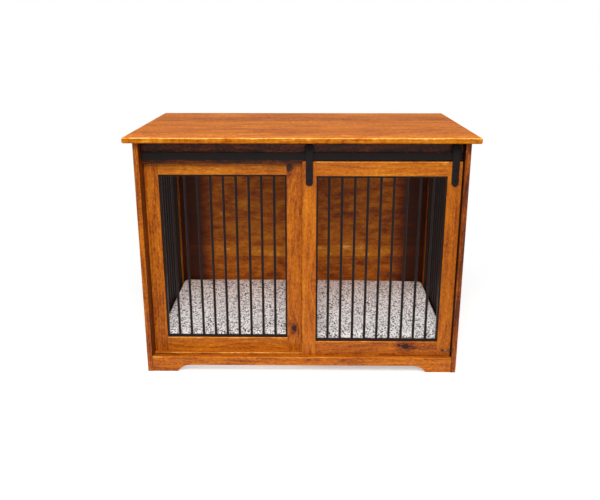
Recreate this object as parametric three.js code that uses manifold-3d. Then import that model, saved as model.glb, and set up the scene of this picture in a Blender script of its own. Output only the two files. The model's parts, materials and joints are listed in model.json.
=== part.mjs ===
// A crate end table: a wooden cabinet for a dog, with a table top, open grilles on three sides and
// a barn door that rolls along a steel bar. All sizes are millimetres, +X runs along the front to
// the right, +Y from front to back, +Z up. The origin is on the floor, under the middle of the top.

import * as THREE from 'three'
import { mergeVertices } from 'three/addons/utils/BufferGeometryUtils.js'
import Module from 'manifold-3d'

const wasm = await Module()
wasm.setup()

// ---- Driving sizes ----

// Table top
const topLength = 1220
const topDepth = 763
const topThickness = 19
const topCornerRadius = 7
const topEdgeRadius = 4
const topOverhang = 29 // past the front and both ends, the back is flush

// Cabinet
const cabinetHeight = 867 // floor to the underside of the top
const boardThickness = 19
const arris = 3 // radius of the eased outer edges
const footRise = 26 // floor to the underside of the low rails and of the base board's cut-out

// Side frames
const sideFrontStile = 89
const sideRearStile = 64
const sideTopRail = 64
const sideBottomRail = 86

// Front frames: the sliding door and the fixed frame have the same window
const frameStile = 50
const meetingStile = 64 // the fixed frame's right stile, which reaches behind the closed door
const frameTopRail = 51
const frameBottomRail = 64
const meetingLap = 8 // the closed door laps over the fixed frame by this much
const doorSideGap = 2 // between the closed door and the right side

// Stub tenons of the rails
const tenonLength = 16
const tenonThickness = 6.5
const tenonShoulder = 10 // from the rail's outer edge
const tenonInnerShoulder = 4 // from the rabbet

// Welded grilles, let into a rabbet behind the wooden lip
const lipThickness = 6.5
const rabbetWidth = 6.25
const grilleBar = 12.75
const rodDiameter = 9.5
const rodSpacingMost = 46
const rodSink = 2 // how far a rod's end is welded into the bar

// Base, floor and ledge
const baseBoardHeight = 60
const footWidth = 94
const footArchRun = 50
const ledgeTop = 58
const ledgeLap = 10 // the fixed frame stands behind the ledge by this much
const headerLap = 8 // and rises behind the header by this much
const channelGap = 3 // on each side of the door, in the channel that guides its lower edge
const doorLap = 8 // the door hangs below the base board's upper edge by this much
const floorThickness = 12
const cleatSize = 19

// Track
const trackHeight = 26
const trackThickness = 5
const trackEndGap = 5
const trackAboveDoor = 5
const trackBoltCount = 4
const trackEndToBolt = 60
const spacerRadius = 7

// Wheels and hangers
const wheelRadius = 17
const grooveDepth = 4
const grooveSideGap = 0.5
const wheelWidth = 11
const wheelBoss = 1.2
const wheelBossRadius = 8
const wheelRecess = 1.5
const wheelRimWall = 1.5
const wheelRimChamfer = 0.8
const grooveFlare = 0.7
const wheelHeadroom = 8.7 // wheel to the underside of the top
const strapWidth = 25
const strapThickness = 5
const strapDrop = 85 // the part of a strap that lies on the door
const strapBoltEnd = 23 // lower strap bolt to the strap's end
const strapBoltTop = 26 // upper strap bolt to the door's upper edge

// Fasteners
const axleRadius = 4
const axleTip = 1
const nutRadius = 7.5
const nutThickness = 5
const boltRadius = 3
const boltHeadRadius = 6.5
const boltHeadHeight = 3
const boltBite = 14 // how deep a bolt goes into wood
const boltRollGap = 2 // between a bolt's head and the wheel that rolls over it

// Hook and eyes
const latchWire = 2.5
const latchAboveDoorFoot = 34
const latchInset = 31 // the door's right edge to the pivot of the hook
const eyeNeck = 1.5
const doorEyeRadius = 5.5
const sideEyeRadius = 6
const hookLoopRadius = 4.5
const hookBend = 3
const hookTipBeyondEye = 2.5
const eyeShank = 12
const hookOpenAngle = 12 // degrees that the hook stands clear of the side eye

// Pad
const padEdgeHeight = 52
const padEdgeRoll = 16
const padCrown = 8
const padCrownFall = 0.4 // share of the crown that is lost towards the front and back
const padCornerRadius = 26
const padSideGap = 4
const padFrontGap = 3
const padBackGap = 6
const padDrawIn = 3 // how far each side is drawn in at its middle

// Clearances
const seatGap = 0.1 // glued or seated faces
const fitGap = 0.3 // a piece in its hole, groove or mortise
const grooveGap = 0.3 // wheel groove over the track's edge
const cutBeyond = 1 // how far a cutting tool passes the face that it opens

// Sides of round solids
const pinSides = 16
const rodSides = 12
const wheelSides = 32
const hexSides = 6
const wireSides = 8
const ringSides = 24
const hookSteps = 16

// ---- Sizes that follow ----

const bodyWidth = topLength - 2 * topOverhang
const bodyDepth = topDepth - topOverhang
const innerWidth = bodyWidth - 2 * boardThickness
const innerHalf = innerWidth / 2
const meetingExtra = meetingStile - frameStile
const doorWidth = (innerWidth + meetingLap - doorSideGap - meetingExtra) / 2
const fixedWidth = doorWidth + meetingExtra

// Heights of the rolling gear, from the top downwards
const axleHeight = cabinetHeight - wheelHeadroom - wheelRadius
const grooveRadius = wheelRadius - grooveDepth
const trackTop = axleHeight - grooveRadius - grooveGap
const trackBottom = trackTop - trackHeight
const doorTop = trackBottom - trackAboveDoor
const doorBottom = baseBoardHeight - doorLap
const frameHeight = doorTop - doorBottom
const fixedBottom = ledgeTop - ledgeLap
const headerBottom = fixedBottom + frameHeight - headerLap
const trackBoltHeight = trackTop - grooveDepth - boltRollGap - boltHeadRadius
const latchHeight = doorBottom + latchAboveDoorFoot

// Depths behind the front edges of the sides
const doorFront = boardThickness + channelGap
const doorBack = doorFront + boardThickness
const headerFront = doorBack + channelGap
const headerBack = headerFront + boardThickness
const fixedFront = headerBack + seatGap
const fixedBack = fixedFront + boardThickness
const backFront = bodyDepth - boardThickness
const strapBack = doorFront - seatGap
const strapFront = strapBack - strapThickness
const wheelFront = strapBack + fitGap + wheelBoss
const wheelMiddle = wheelFront + wheelWidth / 2
const wheelBack = wheelFront + wheelWidth + wheelBoss
const trackFront = wheelMiddle - trackThickness / 2
const trackBack = trackFront + trackThickness

// Places of the door and the fixed frame, measured from the middle of the cabinet
const fixedLeft = -innerHalf
const doorLeft = innerHalf - doorSideGap - doorWidth

// ---- Materials ----

const timber = (name, color) => new THREE.MeshStandardMaterial({ name, color, roughness: 0.45 })
const topFinish = timber('oiled top', 0xc97c3d)
const faceFinish = timber('stained frame', 0xb9671f)
const innerFinish = timber('stained inside', 0x9a5420)
const blackSteel = new THREE.MeshStandardMaterial({
  name: 'black steel',
  color: 0x201d1d,
  roughness: 0.5,
  metalness: 0.6,
})
const darkWire = new THREE.MeshStandardMaterial({
  name: 'dark wire',
  color: 0x2b2826,
  roughness: 0.4,
  metalness: 0.9,
})
const tweed = new THREE.MeshStandardMaterial({ name: 'tweed', color: 0xaaa09c, roughness: 0.95 })

// ---- Helpers for closed solids ----

function toSolid(geometry) {
  const bare = geometry.clone()
  bare.deleteAttribute('normal')
  bare.deleteAttribute('uv')
  const merged = mergeVertices(bare)
  return new wasm.Manifold(
    new wasm.Mesh({
      numProp: 3,
      vertProperties: merged.getAttribute('position').array,
      triVerts: new Uint32Array(merged.index.array),
    }),
  )
}

function toGeometry(solid) {
  const { vertProperties, triVerts } = solid.getMesh()
  const geometry = new THREE.BufferGeometry()
  geometry.setAttribute('position', new THREE.BufferAttribute(vertProperties, 3))
  geometry.setIndex(new THREE.BufferAttribute(triVerts, 1))
  geometry.computeVertexNormals()
  return geometry
}

function cut(geometry, ...tools) {
  return toGeometry(tools.reduce((body, tool) => body.subtract(toSolid(tool)), toSolid(geometry)))
}

function join(geometry, ...pieces) {
  return toGeometry(pieces.reduce((body, piece) => body.add(toSolid(piece)), toSolid(geometry)))
}

function add(parent, name, geometry, material) {
  const mesh = new THREE.Mesh(geometry, material.clone())
  mesh.name = name
  parent.add(mesh)
  return mesh
}

function drill(mesh, ...tools) {
  mesh.geometry = cut(mesh.geometry, ...tools)
}

// A plain block between two planes on each axis.
function block([x0, x1], [y0, y1], [z0, z1]) {
  const box = new THREE.BoxGeometry(x1 - x0, y1 - y0, z1 - z0)
  return box.translate((x0 + x1) / 2, (y0 + y1) / 2, (z0 + z1) / 2)
}

// A round pin or hole along Y, from y0 to y1.
function pin(radius, [y0, y1], x = 0, z = 0, sides = pinSides) {
  return new THREE.CylinderGeometry(radius, radius, y1 - y0, sides).translate(x, (y0 + y1) / 2, z)
}

// An outline in X and Z, pushed back along Y from y0 to y1.
function plate(shape, [y0, y1], options = {}) {
  const depth = y1 - y0
  const round = options.round ?? 0
  const geometry = new THREE.ExtrudeGeometry(shape, {
    depth: depth - 2 * round,
    curveSegments: options.curveSegments ?? 8,
    bevelEnabled: round > 0,
    bevelThickness: round,
    bevelSize: round,
    bevelOffset: -round,
    bevelSegments: 2,
  })
  return geometry.rotateX(Math.PI / 2).translate(0, y1 - round, 0)
}

// A rectangle with its own radius at each corner: u0v0, u1v0, u1v1 and u0v1.
function roundedRectangle([u0, u1], [v0, v1], [a, b, c, d]) {
  const shape = new THREE.Shape()
  const quarter = Math.PI / 2
  shape.moveTo(u0 + a, v0)
  shape.lineTo(u1 - b, v0)
  if (b > 0) shape.absarc(u1 - b, v0 + b, b, -quarter, 0, false)
  shape.lineTo(u1, v1 - c)
  if (c > 0) shape.absarc(u1 - c, v1 - c, c, 0, quarter, false)
  shape.lineTo(u0 + d, v1)
  if (d > 0) shape.absarc(u0 + d, v1 - d, d, quarter, 2 * quarter, false)
  shape.lineTo(u0, v0 + a)
  if (a > 0) shape.absarc(u0 + a, v0 + a, a, 2 * quarter, 3 * quarter, false)
  return shape
}

const unitX = new THREE.Vector3(1, 0, 0)
const unitY = new THREE.Vector3(0, 1, 0)
const unitZ = new THREE.Vector3(0, 0, 1)

// How the section of a board lies, by the axis along which the board runs.
const runs = {
  x: { u: 'y', v: 'z', turn: new THREE.Matrix4().makeBasis(unitY, unitZ, unitX) },
  y: { u: 'z', v: 'x', turn: new THREE.Matrix4().makeBasis(unitZ, unitX, unitY) },
  z: { u: 'x', v: 'y', turn: new THREE.Matrix4() },
}

// A board that fills the given span, its section eased at the corners named in radii.
function board(span, along, radii = [arris, arris, arris, arris]) {
  const { u, v, turn } = runs[along]
  const [start, end] = span[along]
  const section = roundedRectangle(span[u], span[v], radii)
  const geometry = new THREE.ExtrudeGeometry(section, {
    depth: end - start,
    curveSegments: 1,
    bevelEnabled: false,
  })
  return geometry.translate(0, 0, start).applyMatrix4(turn)
}

// A body of revolution round the Y axis. The profile is a list of radius and height, and closes
// on itself or starts and ends on the axis.
function turned(profile, sides) {
  const points = profile.map(([radius, height]) => new THREE.Vector2(radius, height))
  return new THREE.LatheGeometry(points, sides)
}

function circularHole(shape, x, y, radius) {
  const hole = new THREE.Path()
  hole.absarc(x, y, radius, 0, 2 * Math.PI, true)
  shape.holes.push(hole)
}

// ---- Grilles ----

// Square bars round an opening, with round rods evenly spaced across it. The frame of reference is
// the frame's own: x to the right, y into the thickness, z up.
function weldedGrille(opening) {
  const outer = rabbetWidth - fitGap
  const inner = grilleBar - outer
  const [x0, x1] = opening.x
  const [z0, z1] = opening.z
  const front = lipThickness + seatGap
  const depth = [front, boardThickness - fitGap]
  const bars = roundedRectangle([x0 - outer, x1 + outer], [z0 - outer, z1 + outer], [0, 0, 0, 0])
  const light = new THREE.Path()
  light.moveTo(x0 + inner, z0 + inner)
  light.lineTo(x0 + inner, z1 - inner)
  light.lineTo(x1 - inner, z1 - inner)
  light.lineTo(x1 - inner, z0 + inner)
  light.closePath()
  bars.holes.push(light)
  const spaces = Math.ceil((x1 - x0) / rodSpacingMost)
  const spacing = (x1 - x0) / spaces
  const rodLength = z1 - z0 - 2 * inner + 2 * rodSink
  const rodRadius = rodDiameter / 2
  const rods = []
  for (let i = 1; i < spaces; i++) {
    const rod = new THREE.CylinderGeometry(rodRadius, rodRadius, rodLength, rodSides)
    rod.rotateX(Math.PI / 2)
    rod.translate(x0 + i * spacing, (depth[0] + depth[1]) / 2, (z0 + z1) / 2)
    rods.push(rod)
  }
  return join(plate(bars, depth), ...rods)
}

// Two stiles and two rails round a grille. The frame's corner is the foot of its left stile, and
// its face is at y = 0. The lower rail may sit above the feet of the stiles.
function grilleFrame(frame) {
  const group = new THREE.Group()
  const { width, height, leftStile, rightStile, topRail, bottomRail, names } = frame
  const lowest = frame.rise ?? 0
  const thickness = [0, boardThickness]
  const openingX = [leftStile, width - rightStile]
  const openingZ = [lowest + bottomRail, height - topRail]
  const grow = ([a, b], by) => [a - by, b + by]
  const pocket = block(
    grow(openingX, rabbetWidth),
    [lipThickness, boardThickness + cutBeyond],
    grow(openingZ, rabbetWidth),
  )

  const tenonMiddle = boardThickness / 2
  const tenonY = [tenonMiddle - tenonThickness / 2, tenonMiddle + tenonThickness / 2]
  const tenonX = grow(openingX, tenonLength)
  const innerShoulder = rabbetWidth + tenonInnerShoulder
  const topTenonZ = [openingZ[1] + innerShoulder, height - tenonShoulder]
  const bottomTenonZ = [lowest + tenonShoulder, openingZ[0] - innerShoulder]
  const mortises = [topTenonZ, bottomTenonZ].map((z) =>
    block(grow(tenonX, fitGap), grow(tenonY, fitGap), grow(z, fitGap)),
  )

  const stiles = [
    [names[0], [0, leftStile], [arris, 0, 0, arris]],
    [names[1], [width - rightStile, width], [0, arris, arris, 0]],
  ]
  for (const [name, x, radii] of stiles) {
    const stile = board({ x, y: thickness, z: [0, height] }, 'z', radii)
    add(group, name, cut(stile, pocket, ...mortises), faceFinish)
  }

  const railX = grow(openingX, -seatGap)
  const rails = [
    [names[2], [openingZ[1], height], topTenonZ, [0, 0, arris, arris]],
    [names[3], [lowest, openingZ[0]], bottomTenonZ, [arris, arris, 0, 0]],
  ]
  for (const [name, z, tenonZ, radii] of rails) {
    const rail = board({ x: railX, y: thickness, z }, 'x', radii)
    const tenons = block(tenonX, tenonY, tenonZ)
    add(group, name, join(cut(rail, pocket), tenons), faceFinish)
  }

  add(group, names[4], weldedGrille({ x: openingX, z: openingZ }), blackSteel)
  return group
}

// ---- Table top ----

const table = new THREE.Group()

function tableTop() {
  const outline = roundedRectangle(
    [-topLength / 2, topLength / 2],
    [-topDepth / 2, topDepth / 2],
    Array(4).fill(topCornerRadius),
  )
  const slab = new THREE.ExtrudeGeometry(outline, {
    depth: topThickness - 2 * topEdgeRadius,
    curveSegments: 3,
    bevelThickness: topEdgeRadius,
    bevelSize: topEdgeRadius,
    bevelOffset: -topEdgeRadius,
    bevelSegments: 4,
  })
  return slab.translate(0, 0, cabinetHeight + topEdgeRadius)
}

add(table, 'table_top', tableTop(), topFinish)

// ---- Cabinet ----

// Everything below the top is measured from the front edges of the side frames.
const cabinet = new THREE.Group()
cabinet.position.y = -topDepth / 2 + topOverhang
table.add(cabinet)

const carcassTop = cabinetHeight - seatGap

function sideFrame(side, names, leftStile, rightStile) {
  const group = grilleFrame({
    width: bodyDepth,
    height: carcassTop,
    leftStile,
    rightStile,
    topRail: sideTopRail,
    bottomRail: sideBottomRail,
    rise: footRise,
    names: names.map((part) => `${side}_${part}`),
  })
  cabinet.add(group)
  return group
}

const sideRails = ['top_rail', 'bottom_rail', 'grille']
const leftNames = ['rear_stile', 'front_stile', ...sideRails]
const leftSide = sideFrame('left', leftNames, sideRearStile, sideFrontStile)
leftSide.position.set(-bodyWidth / 2, bodyDepth, 0)
leftSide.rotation.z = -Math.PI / 2

const rightNames = ['front_stile', 'rear_stile', ...sideRails]
const rightSide = sideFrame('right', rightNames, sideFrontStile, sideRearStile)
rightSide.position.set(bodyWidth / 2, 0, 0)
rightSide.rotation.z = Math.PI / 2

const betweenSides = [-innerHalf + seatGap, innerHalf - seatGap]

function baseBoard() {
  const half = innerHalf - seatGap
  const foot = innerHalf - footWidth
  const straight = foot - footArchRun
  const archRadius = (footArchRun ** 2 + footRise ** 2) / (2 * footRise)
  const archCentre = footRise - archRadius
  const archStart = Math.atan2(-archCentre, footArchRun)
  const outline = new THREE.Shape()
  outline.moveTo(-half, 0)
  outline.lineTo(-foot, 0)
  outline.absarc(-straight, archCentre, archRadius, Math.PI - archStart, Math.PI / 2, true)
  outline.lineTo(straight, footRise)
  outline.absarc(straight, archCentre, archRadius, Math.PI / 2, archStart, true)
  outline.lineTo(half, 0)
  outline.lineTo(half, baseBoardHeight)
  outline.lineTo(-half, baseBoardHeight)
  outline.closePath()
  return plate(outline, [0, boardThickness], { round: arris, curveSegments: 4 })
}

function headerBoard() {
  const header = board(
    { x: betweenSides, y: [headerFront, headerBack], z: [headerBottom, carcassTop] },
    'x',
  )
  const depth = [headerFront - cutBeyond, headerFront + boltBite + cutBeyond]
  const holes = trackBoltPlaces.map((x) => pin(boltRadius + fitGap, depth, x, trackBoltHeight))
  return cut(header, ...holes)
}

// The deck fills the space between the sides, with a notch for the fixed frame.
function floorPanel() {
  const [left, right] = betweenSides
  const back = backFront - seatGap
  const ledgeBack = headerBack + seatGap
  const notchBack = fixedBack + seatGap
  const notchRight = fixedLeft + fixedWidth + fitGap
  const outline = new THREE.Shape()
  outline.moveTo(left, notchBack)
  outline.lineTo(notchRight, notchBack)
  outline.lineTo(notchRight, ledgeBack)
  outline.lineTo(right, ledgeBack)
  outline.lineTo(right, back)
  outline.lineTo(left, back)
  outline.closePath()
  const deck = new THREE.ExtrudeGeometry(outline, {
    depth: floorThickness,
    bevelEnabled: false,
  })
  return deck.translate(0, 0, ledgeTop - floorThickness)
}

const trackHalf = innerHalf - trackEndGap
const trackBoltPlaces = Array.from({ length: trackBoltCount }, (_, i) => {
  const reach = trackHalf - trackEndToBolt
  return -reach + (2 * reach * i) / (trackBoltCount - 1)
})

add(cabinet, 'base_board', baseBoard(), faceFinish)
add(cabinet, 'header_board', headerBoard(), innerFinish)

const ledgeSpan = { x: betweenSides, y: [headerFront, headerBack], z: [footRise, ledgeTop] }
add(cabinet, 'bottom_front_rail', board(ledgeSpan, 'x'), faceFinish)

const backSpan = { x: betweenSides, y: [backFront, bodyDepth], z: [footRise, carcassTop] }
add(cabinet, 'back_panel', board(backSpan, 'x'), innerFinish)

add(cabinet, 'floor_panel', floorPanel(), innerFinish)

// Cleats under the deck and under the top.
const cleatTop = ledgeTop - floorThickness - seatGap
const cleatZ = [cleatTop - cleatSize, cleatTop]
const frontCleatY = [headerBack + seatGap, headerBack + seatGap + cleatSize]
const backCleatY = [backFront - seatGap - cleatSize, backFront - seatGap]
const cleatRunY = [frontCleatY[1] + seatGap, backCleatY[0] - seatGap]
const leftCleatX = [betweenSides[0], betweenSides[0] + cleatSize]
const rightCleatX = [betweenSides[1] - cleatSize, betweenSides[1]]
const square = [0, 0, 0, 0]

const cleats = [
  ['floor_cleat_front', { x: betweenSides, y: frontCleatY, z: cleatZ }, 'x'],
  ['floor_cleat_back', { x: betweenSides, y: backCleatY, z: cleatZ }, 'x'],
  ['floor_cleat_left', { x: leftCleatX, y: cleatRunY, z: cleatZ }, 'y'],
  ['floor_cleat_right', { x: rightCleatX, y: cleatRunY, z: cleatZ }, 'y'],
  ['floor_bearer', { x: [-cleatSize / 2, cleatSize / 2], y: cleatRunY, z: cleatZ }, 'y'],
]
const topCleatY = [fixedBack + seatGap, backFront - seatGap]
const topCleatZ = [carcassTop - cleatSize, carcassTop]
cleats.push(['top_cleat_left', { x: leftCleatX, y: topCleatY, z: topCleatZ }, 'y'])
cleats.push(['top_cleat_right', { x: rightCleatX, y: topCleatY, z: topCleatZ }, 'y'])
for (const [name, span, along] of cleats) {
  add(cabinet, name, board(span, along, square), innerFinish)
}

// ---- Fixed frame and sliding door ----

const frontNames = ['left_stile', 'right_stile', 'top_rail', 'bottom_rail', 'grille']

function frontFrame(label, width, rightStile) {
  return grilleFrame({
    width,
    height: frameHeight,
    leftStile: frameStile,
    rightStile,
    topRail: frameTopRail,
    bottomRail: frameBottomRail,
    names: frontNames.map((part) => `${label}_${part}`),
  })
}

const fixedFrame = frontFrame('fixed', fixedWidth, meetingStile)
fixedFrame.position.set(fixedLeft + seatGap, fixedFront, fixedBottom)
cabinet.add(fixedFrame)

// Everything that moves with the door is measured from the foot of its left stile.
const door = frontFrame('door', doorWidth, frameStile)
door.position.set(doorLeft, doorFront, doorBottom)
cabinet.add(door)

// ---- Track ----

function hexBolt(headRadius, shankEnd) {
  const head = pin(headRadius, [-boltHeadHeight, 0], 0, 0, hexSides)
  return join(head, pin(boltRadius, [-boltHeadHeight / 2, shankEnd]))
}

function trackBar() {
  const outline = roundedRectangle(
    [-trackHalf, trackHalf],
    [trackBottom, trackTop],
    square,
  )
  for (const x of trackBoltPlaces) circularHole(outline, x, trackBoltHeight, boltRadius + fitGap)
  return plate(outline, [trackFront, trackBack])
}

add(cabinet, 'track_bar', trackBar(), blackSteel)
const spacerEnds = [trackBack + seatGap, headerFront - seatGap]
const spacerProfile = [
  [boltRadius + fitGap, spacerEnds[0]],
  [spacerRadius, spacerEnds[0]],
  [spacerRadius, spacerEnds[1]],
  [boltRadius + fitGap, spacerEnds[1]],
  [boltRadius + fitGap, spacerEnds[0]],
]
trackBoltPlaces.forEach((x, i) => {
  const spacer = add(cabinet, `track_spacer_${i + 1}`, turned(spacerProfile, pinSides), blackSteel)
  spacer.position.set(x, 0, trackBoltHeight)
  const bolt = hexBolt(boltHeadRadius, headerFront + boltBite - trackFront + seatGap)
  const mesh = add(cabinet, `track_bolt_${i + 1}`, bolt, blackSteel)
  mesh.position.set(x, trackFront - seatGap, trackBoltHeight)
})

// ---- Hangers: a strap, a grooved wheel, its axle, and the strap's bolts ----

function hangerStrap(top, bottom, holes) {
  const half = strapWidth / 2
  const outline = new THREE.Shape()
  outline.absarc(0, top, half, 0, Math.PI, false)
  outline.absarc(0, bottom + half, half, Math.PI, 2 * Math.PI, false)
  outline.closePath()
  for (const [z, radius] of holes) circularHole(outline, 0, z, radius + fitGap)
  return plate(outline, [-strapThickness, 0])
}

// The wheel, with its middle plane at y = 0: flanges, a flat-bottomed groove, and a boss each side.
function groovedWheel() {
  const half = wheelWidth / 2
  const floor = trackThickness / 2 + grooveSideGap
  const rim = grooveRadius - wheelRimWall
  const bore = axleRadius + fitGap
  return turned(
    [
      [bore, -half - wheelBoss],
      [wheelBossRadius, -half - wheelBoss],
      [wheelBossRadius, -half + wheelRecess],
      [rim, -half + wheelRecess],
      [rim, -half],
      [wheelRadius - wheelRimChamfer, -half],
      [wheelRadius, -half + wheelRimChamfer],
      [wheelRadius, -floor - grooveFlare],
      [grooveRadius, -floor],
      [grooveRadius, floor],
      [wheelRadius, floor + grooveFlare],
      [wheelRadius, half - wheelRimChamfer],
      [wheelRadius - wheelRimChamfer, half],
      [rim, half],
      [rim, half - wheelRecess],
      [wheelBossRadius, half - wheelRecess],
      [wheelBossRadius, half + wheelBoss],
      [bore, half + wheelBoss],
      [bore, -half - wheelBoss],
    ],
    wheelSides,
  )
}

// A low domed head in front of y = 0, and a plain shank behind it. The dome is given as shares of
// the head's radius and height.
const dome = [
  [0, 1],
  [0.55, 0.85],
  [0.88, 0.5],
  [1, 0],
]

function domedBolt(headRadius, shankRadius, shankEnd) {
  const head = dome.map(([out, up]) => [headRadius * out, -boltHeadHeight * up])
  const shank = [
    [shankRadius, 0],
    [shankRadius, shankEnd],
    [0, shankEnd],
  ]
  return turned([...head, ...shank], pinSides)
}

function hexNut() {
  const nut = pin(nutRadius, [0, nutThickness], 0, 0, hexSides)
  return cut(nut, pin(axleRadius + fitGap, [-cutBeyond, nutThickness + cutBeyond]))
}

const axleInDoor = axleHeight - doorBottom
const upperBolt = frameHeight - strapBoltTop
const lowerBolt = frameHeight - strapDrop + strapBoltEnd
const nutFront = wheelBack + fitGap
const axleEnd = nutFront + nutThickness + axleTip

function hanger(side, x) {
  const group = new THREE.Group()
  group.position.set(x, -seatGap, 0)
  door.add(group)
  const holes = [
    [axleInDoor, axleRadius],
    [upperBolt, boltRadius],
    [lowerBolt, boltRadius],
  ]
  const strap = hangerStrap(axleInDoor, frameHeight - strapDrop, holes)
  add(group, `${side}_hanger_strap`, strap, blackSteel)

  const wheel = add(group, `${side}_wheel`, groovedWheel(), blackSteel)
  wheel.position.set(0, wheelMiddle - strapBack, axleInDoor)

  const axleShank = axleEnd - strapFront + seatGap
  const axle = domedBolt(nutRadius, axleRadius, axleShank)
  const axleBolt = add(group, `${side}_axle_bolt`, axle, blackSteel)
  axleBolt.position.set(0, -strapThickness - seatGap, axleInDoor)
  const nut = add(group, `${side}_axle_nut`, hexNut(), blackSteel)
  nut.position.set(0, nutFront - strapBack, axleInDoor)

  const bite = strapThickness + 2 * seatGap + boltBite
  for (const [level, z] of [['upper', upperBolt], ['lower', lowerBolt]]) {
    const bolt = domedBolt(boltHeadRadius, boltRadius, bite)
    const mesh = add(group, `${side}_${level}_hanger_bolt`, bolt, blackSteel)
    mesh.position.set(0, -strapThickness - seatGap, z)
  }
}

// A hole in the door's frame goes through a stile, and through the rail's tenon where they cross.
function drillDoor(side, rail, ...tools) {
  drill(door.getObjectByName(`door_${side}_stile`), ...tools)
  drill(door.getObjectByName(`door_${rail}_rail`), ...tools)
}

const hangerPlaces = { left: frameStile / 2, right: doorWidth - frameStile / 2 }
const boltDepth = [-cutBeyond, boltBite + cutBeyond]
for (const [side, x] of Object.entries(hangerPlaces)) {
  hanger(side, x)
  const holes = [upperBolt, lowerBolt].map((z) => pin(boltRadius + fitGap, boltDepth, x, z))
  drillDoor(side, 'top', ...holes)
}

// ---- Hook and eyes ----

const wireRadius = latchWire / 2

function wireRing(radius) {
  return new THREE.TorusGeometry(radius, wireRadius, wireSides, ringSides)
}

// An eye whose ring stands on its neck at the origin and whose shank runs along +Y.
function screwEye(ringRadius) {
  const ring = wireRing(ringRadius)
  ring.rotateY(Math.PI / 2)
  ring.translate(0, -eyeNeck - wireRadius - ringRadius, 0)
  return join(ring, pin(wireRadius, [-eyeNeck - wireRadius, eyeShank]))
}

const pivotX = doorWidth - latchInset
const pivotY = -eyeNeck - wireRadius - 2 * doorEyeRadius
const latchZ = latchHeight - doorBottom

const doorEye = add(door, 'latch_door_eye', screwEye(doorEyeRadius), darkWire)
doorEye.position.set(pivotX, 0, latchZ)
const eyeHole = [-cutBeyond, eyeShank + cutBeyond]
drillDoor('right', 'bottom', pin(wireRadius + fitGap, eyeHole, pivotX, latchZ))

// The side eye stands on the inner face of the right front stile, with its ring facing the front.
const sideEyeX = innerHalf - eyeNeck - wireRadius - sideEyeRadius
const sideEyeY = doorFront + pivotY + latchWire + fitGap
const sideEye = add(cabinet, 'latch_side_eye', screwEye(sideEyeRadius), darkWire)
sideEye.position.set(innerHalf, sideEyeY, latchHeight)
sideEye.rotation.z = -Math.PI / 2
const sideEyeHole = [boardThickness - eyeShank - cutBeyond, boardThickness + cutBeyond]
const sideEyeTool = pin(wireRadius + fitGap, sideEyeHole, sideEyeY, latchHeight)
drill(rightSide.getObjectByName('right_front_stile'), sideEyeTool)

// The hook lies along +X when it is shut: a loop round the door eye, a shank, and a tip that turns
// back through the side eye.
function latchHook() {
  const reach = sideEyeX - (doorLeft + pivotX)
  const tip = latchWire + fitGap + hookTipBeyondEye
  const path = new THREE.CurvePath()
  const shankStart = new THREE.Vector3(hookLoopRadius, 0, 0)
  const bendStart = new THREE.Vector3(reach - hookBend, 0, 0)
  const corner = new THREE.Vector3(reach, 0, 0)
  const bendEnd = new THREE.Vector3(reach, hookBend, 0)
  const tipEnd = new THREE.Vector3(reach, tip, 0)
  path.add(new THREE.LineCurve3(shankStart, bendStart))
  path.add(new THREE.QuadraticBezierCurve3(bendStart, corner, bendEnd))
  path.add(new THREE.LineCurve3(bendEnd, tipEnd))
  const section = new THREE.Shape()
  section.absarc(0, 0, wireRadius, 0, 2 * Math.PI, false)
  const wire = new THREE.ExtrudeGeometry(section, {
    steps: hookSteps,
    curveSegments: wireSides / 2,
    extrudePath: path,
  })
  return join(wireRing(hookLoopRadius), wire)
}

const hook = add(door, 'latch_hook', latchHook(), darkWire)
hook.position.set(pivotX, pivotY, latchZ)
hook.rotation.z = THREE.MathUtils.degToRad(-hookOpenAngle)

// ---- Pad ----

// A rounded rectangle whose straight sides are drawn in towards their middles. Each point comes
// with the outward direction of the plain rounded rectangle there.
function padOutline(halfX, halfY) {
  const cornerSteps = 6
  const sideSteps = 8
  const radius = padCornerRadius
  const points = []
  for (let side = 0; side < 4; side++) {
    const turn = (side * Math.PI) / 2
    const [across, along] = side % 2 ? [halfY, halfX] : [halfX, halfY]
    const straight = along - radius
    const place = (u, v, nu, nv) => {
      const c = Math.cos(turn)
      const s = Math.sin(turn)
      points.push({ x: u * c - v * s, y: u * s + v * c, nx: nu * c - nv * s, ny: nu * s + nv * c })
    }
    for (let i = 0; i < sideSteps; i++) {
      const v = straight * ((2 * i) / sideSteps - 1)
      place(across - padDrawIn * Math.cos((Math.PI * v) / (2 * straight)) ** 2, v, 1, 0)
    }
    for (let i = 0; i < cornerSteps; i++) {
      const angle = ((i / cornerSteps) * Math.PI) / 2
      const nu = Math.cos(angle)
      const nv = Math.sin(angle)
      place(across - radius + radius * nu, straight + radius * nv, nu, nv)
    }
  }
  return points
}

// The pad's height over its floor at a place: highest in the middle, lowest at the ends.
function padHeight(x, y, halfX, halfY) {
  const across = 1 - padCrownFall * (y / halfY) ** 2
  return padEdgeHeight + padCrown * (1 - (x / halfX) ** 2) * across
}

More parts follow.
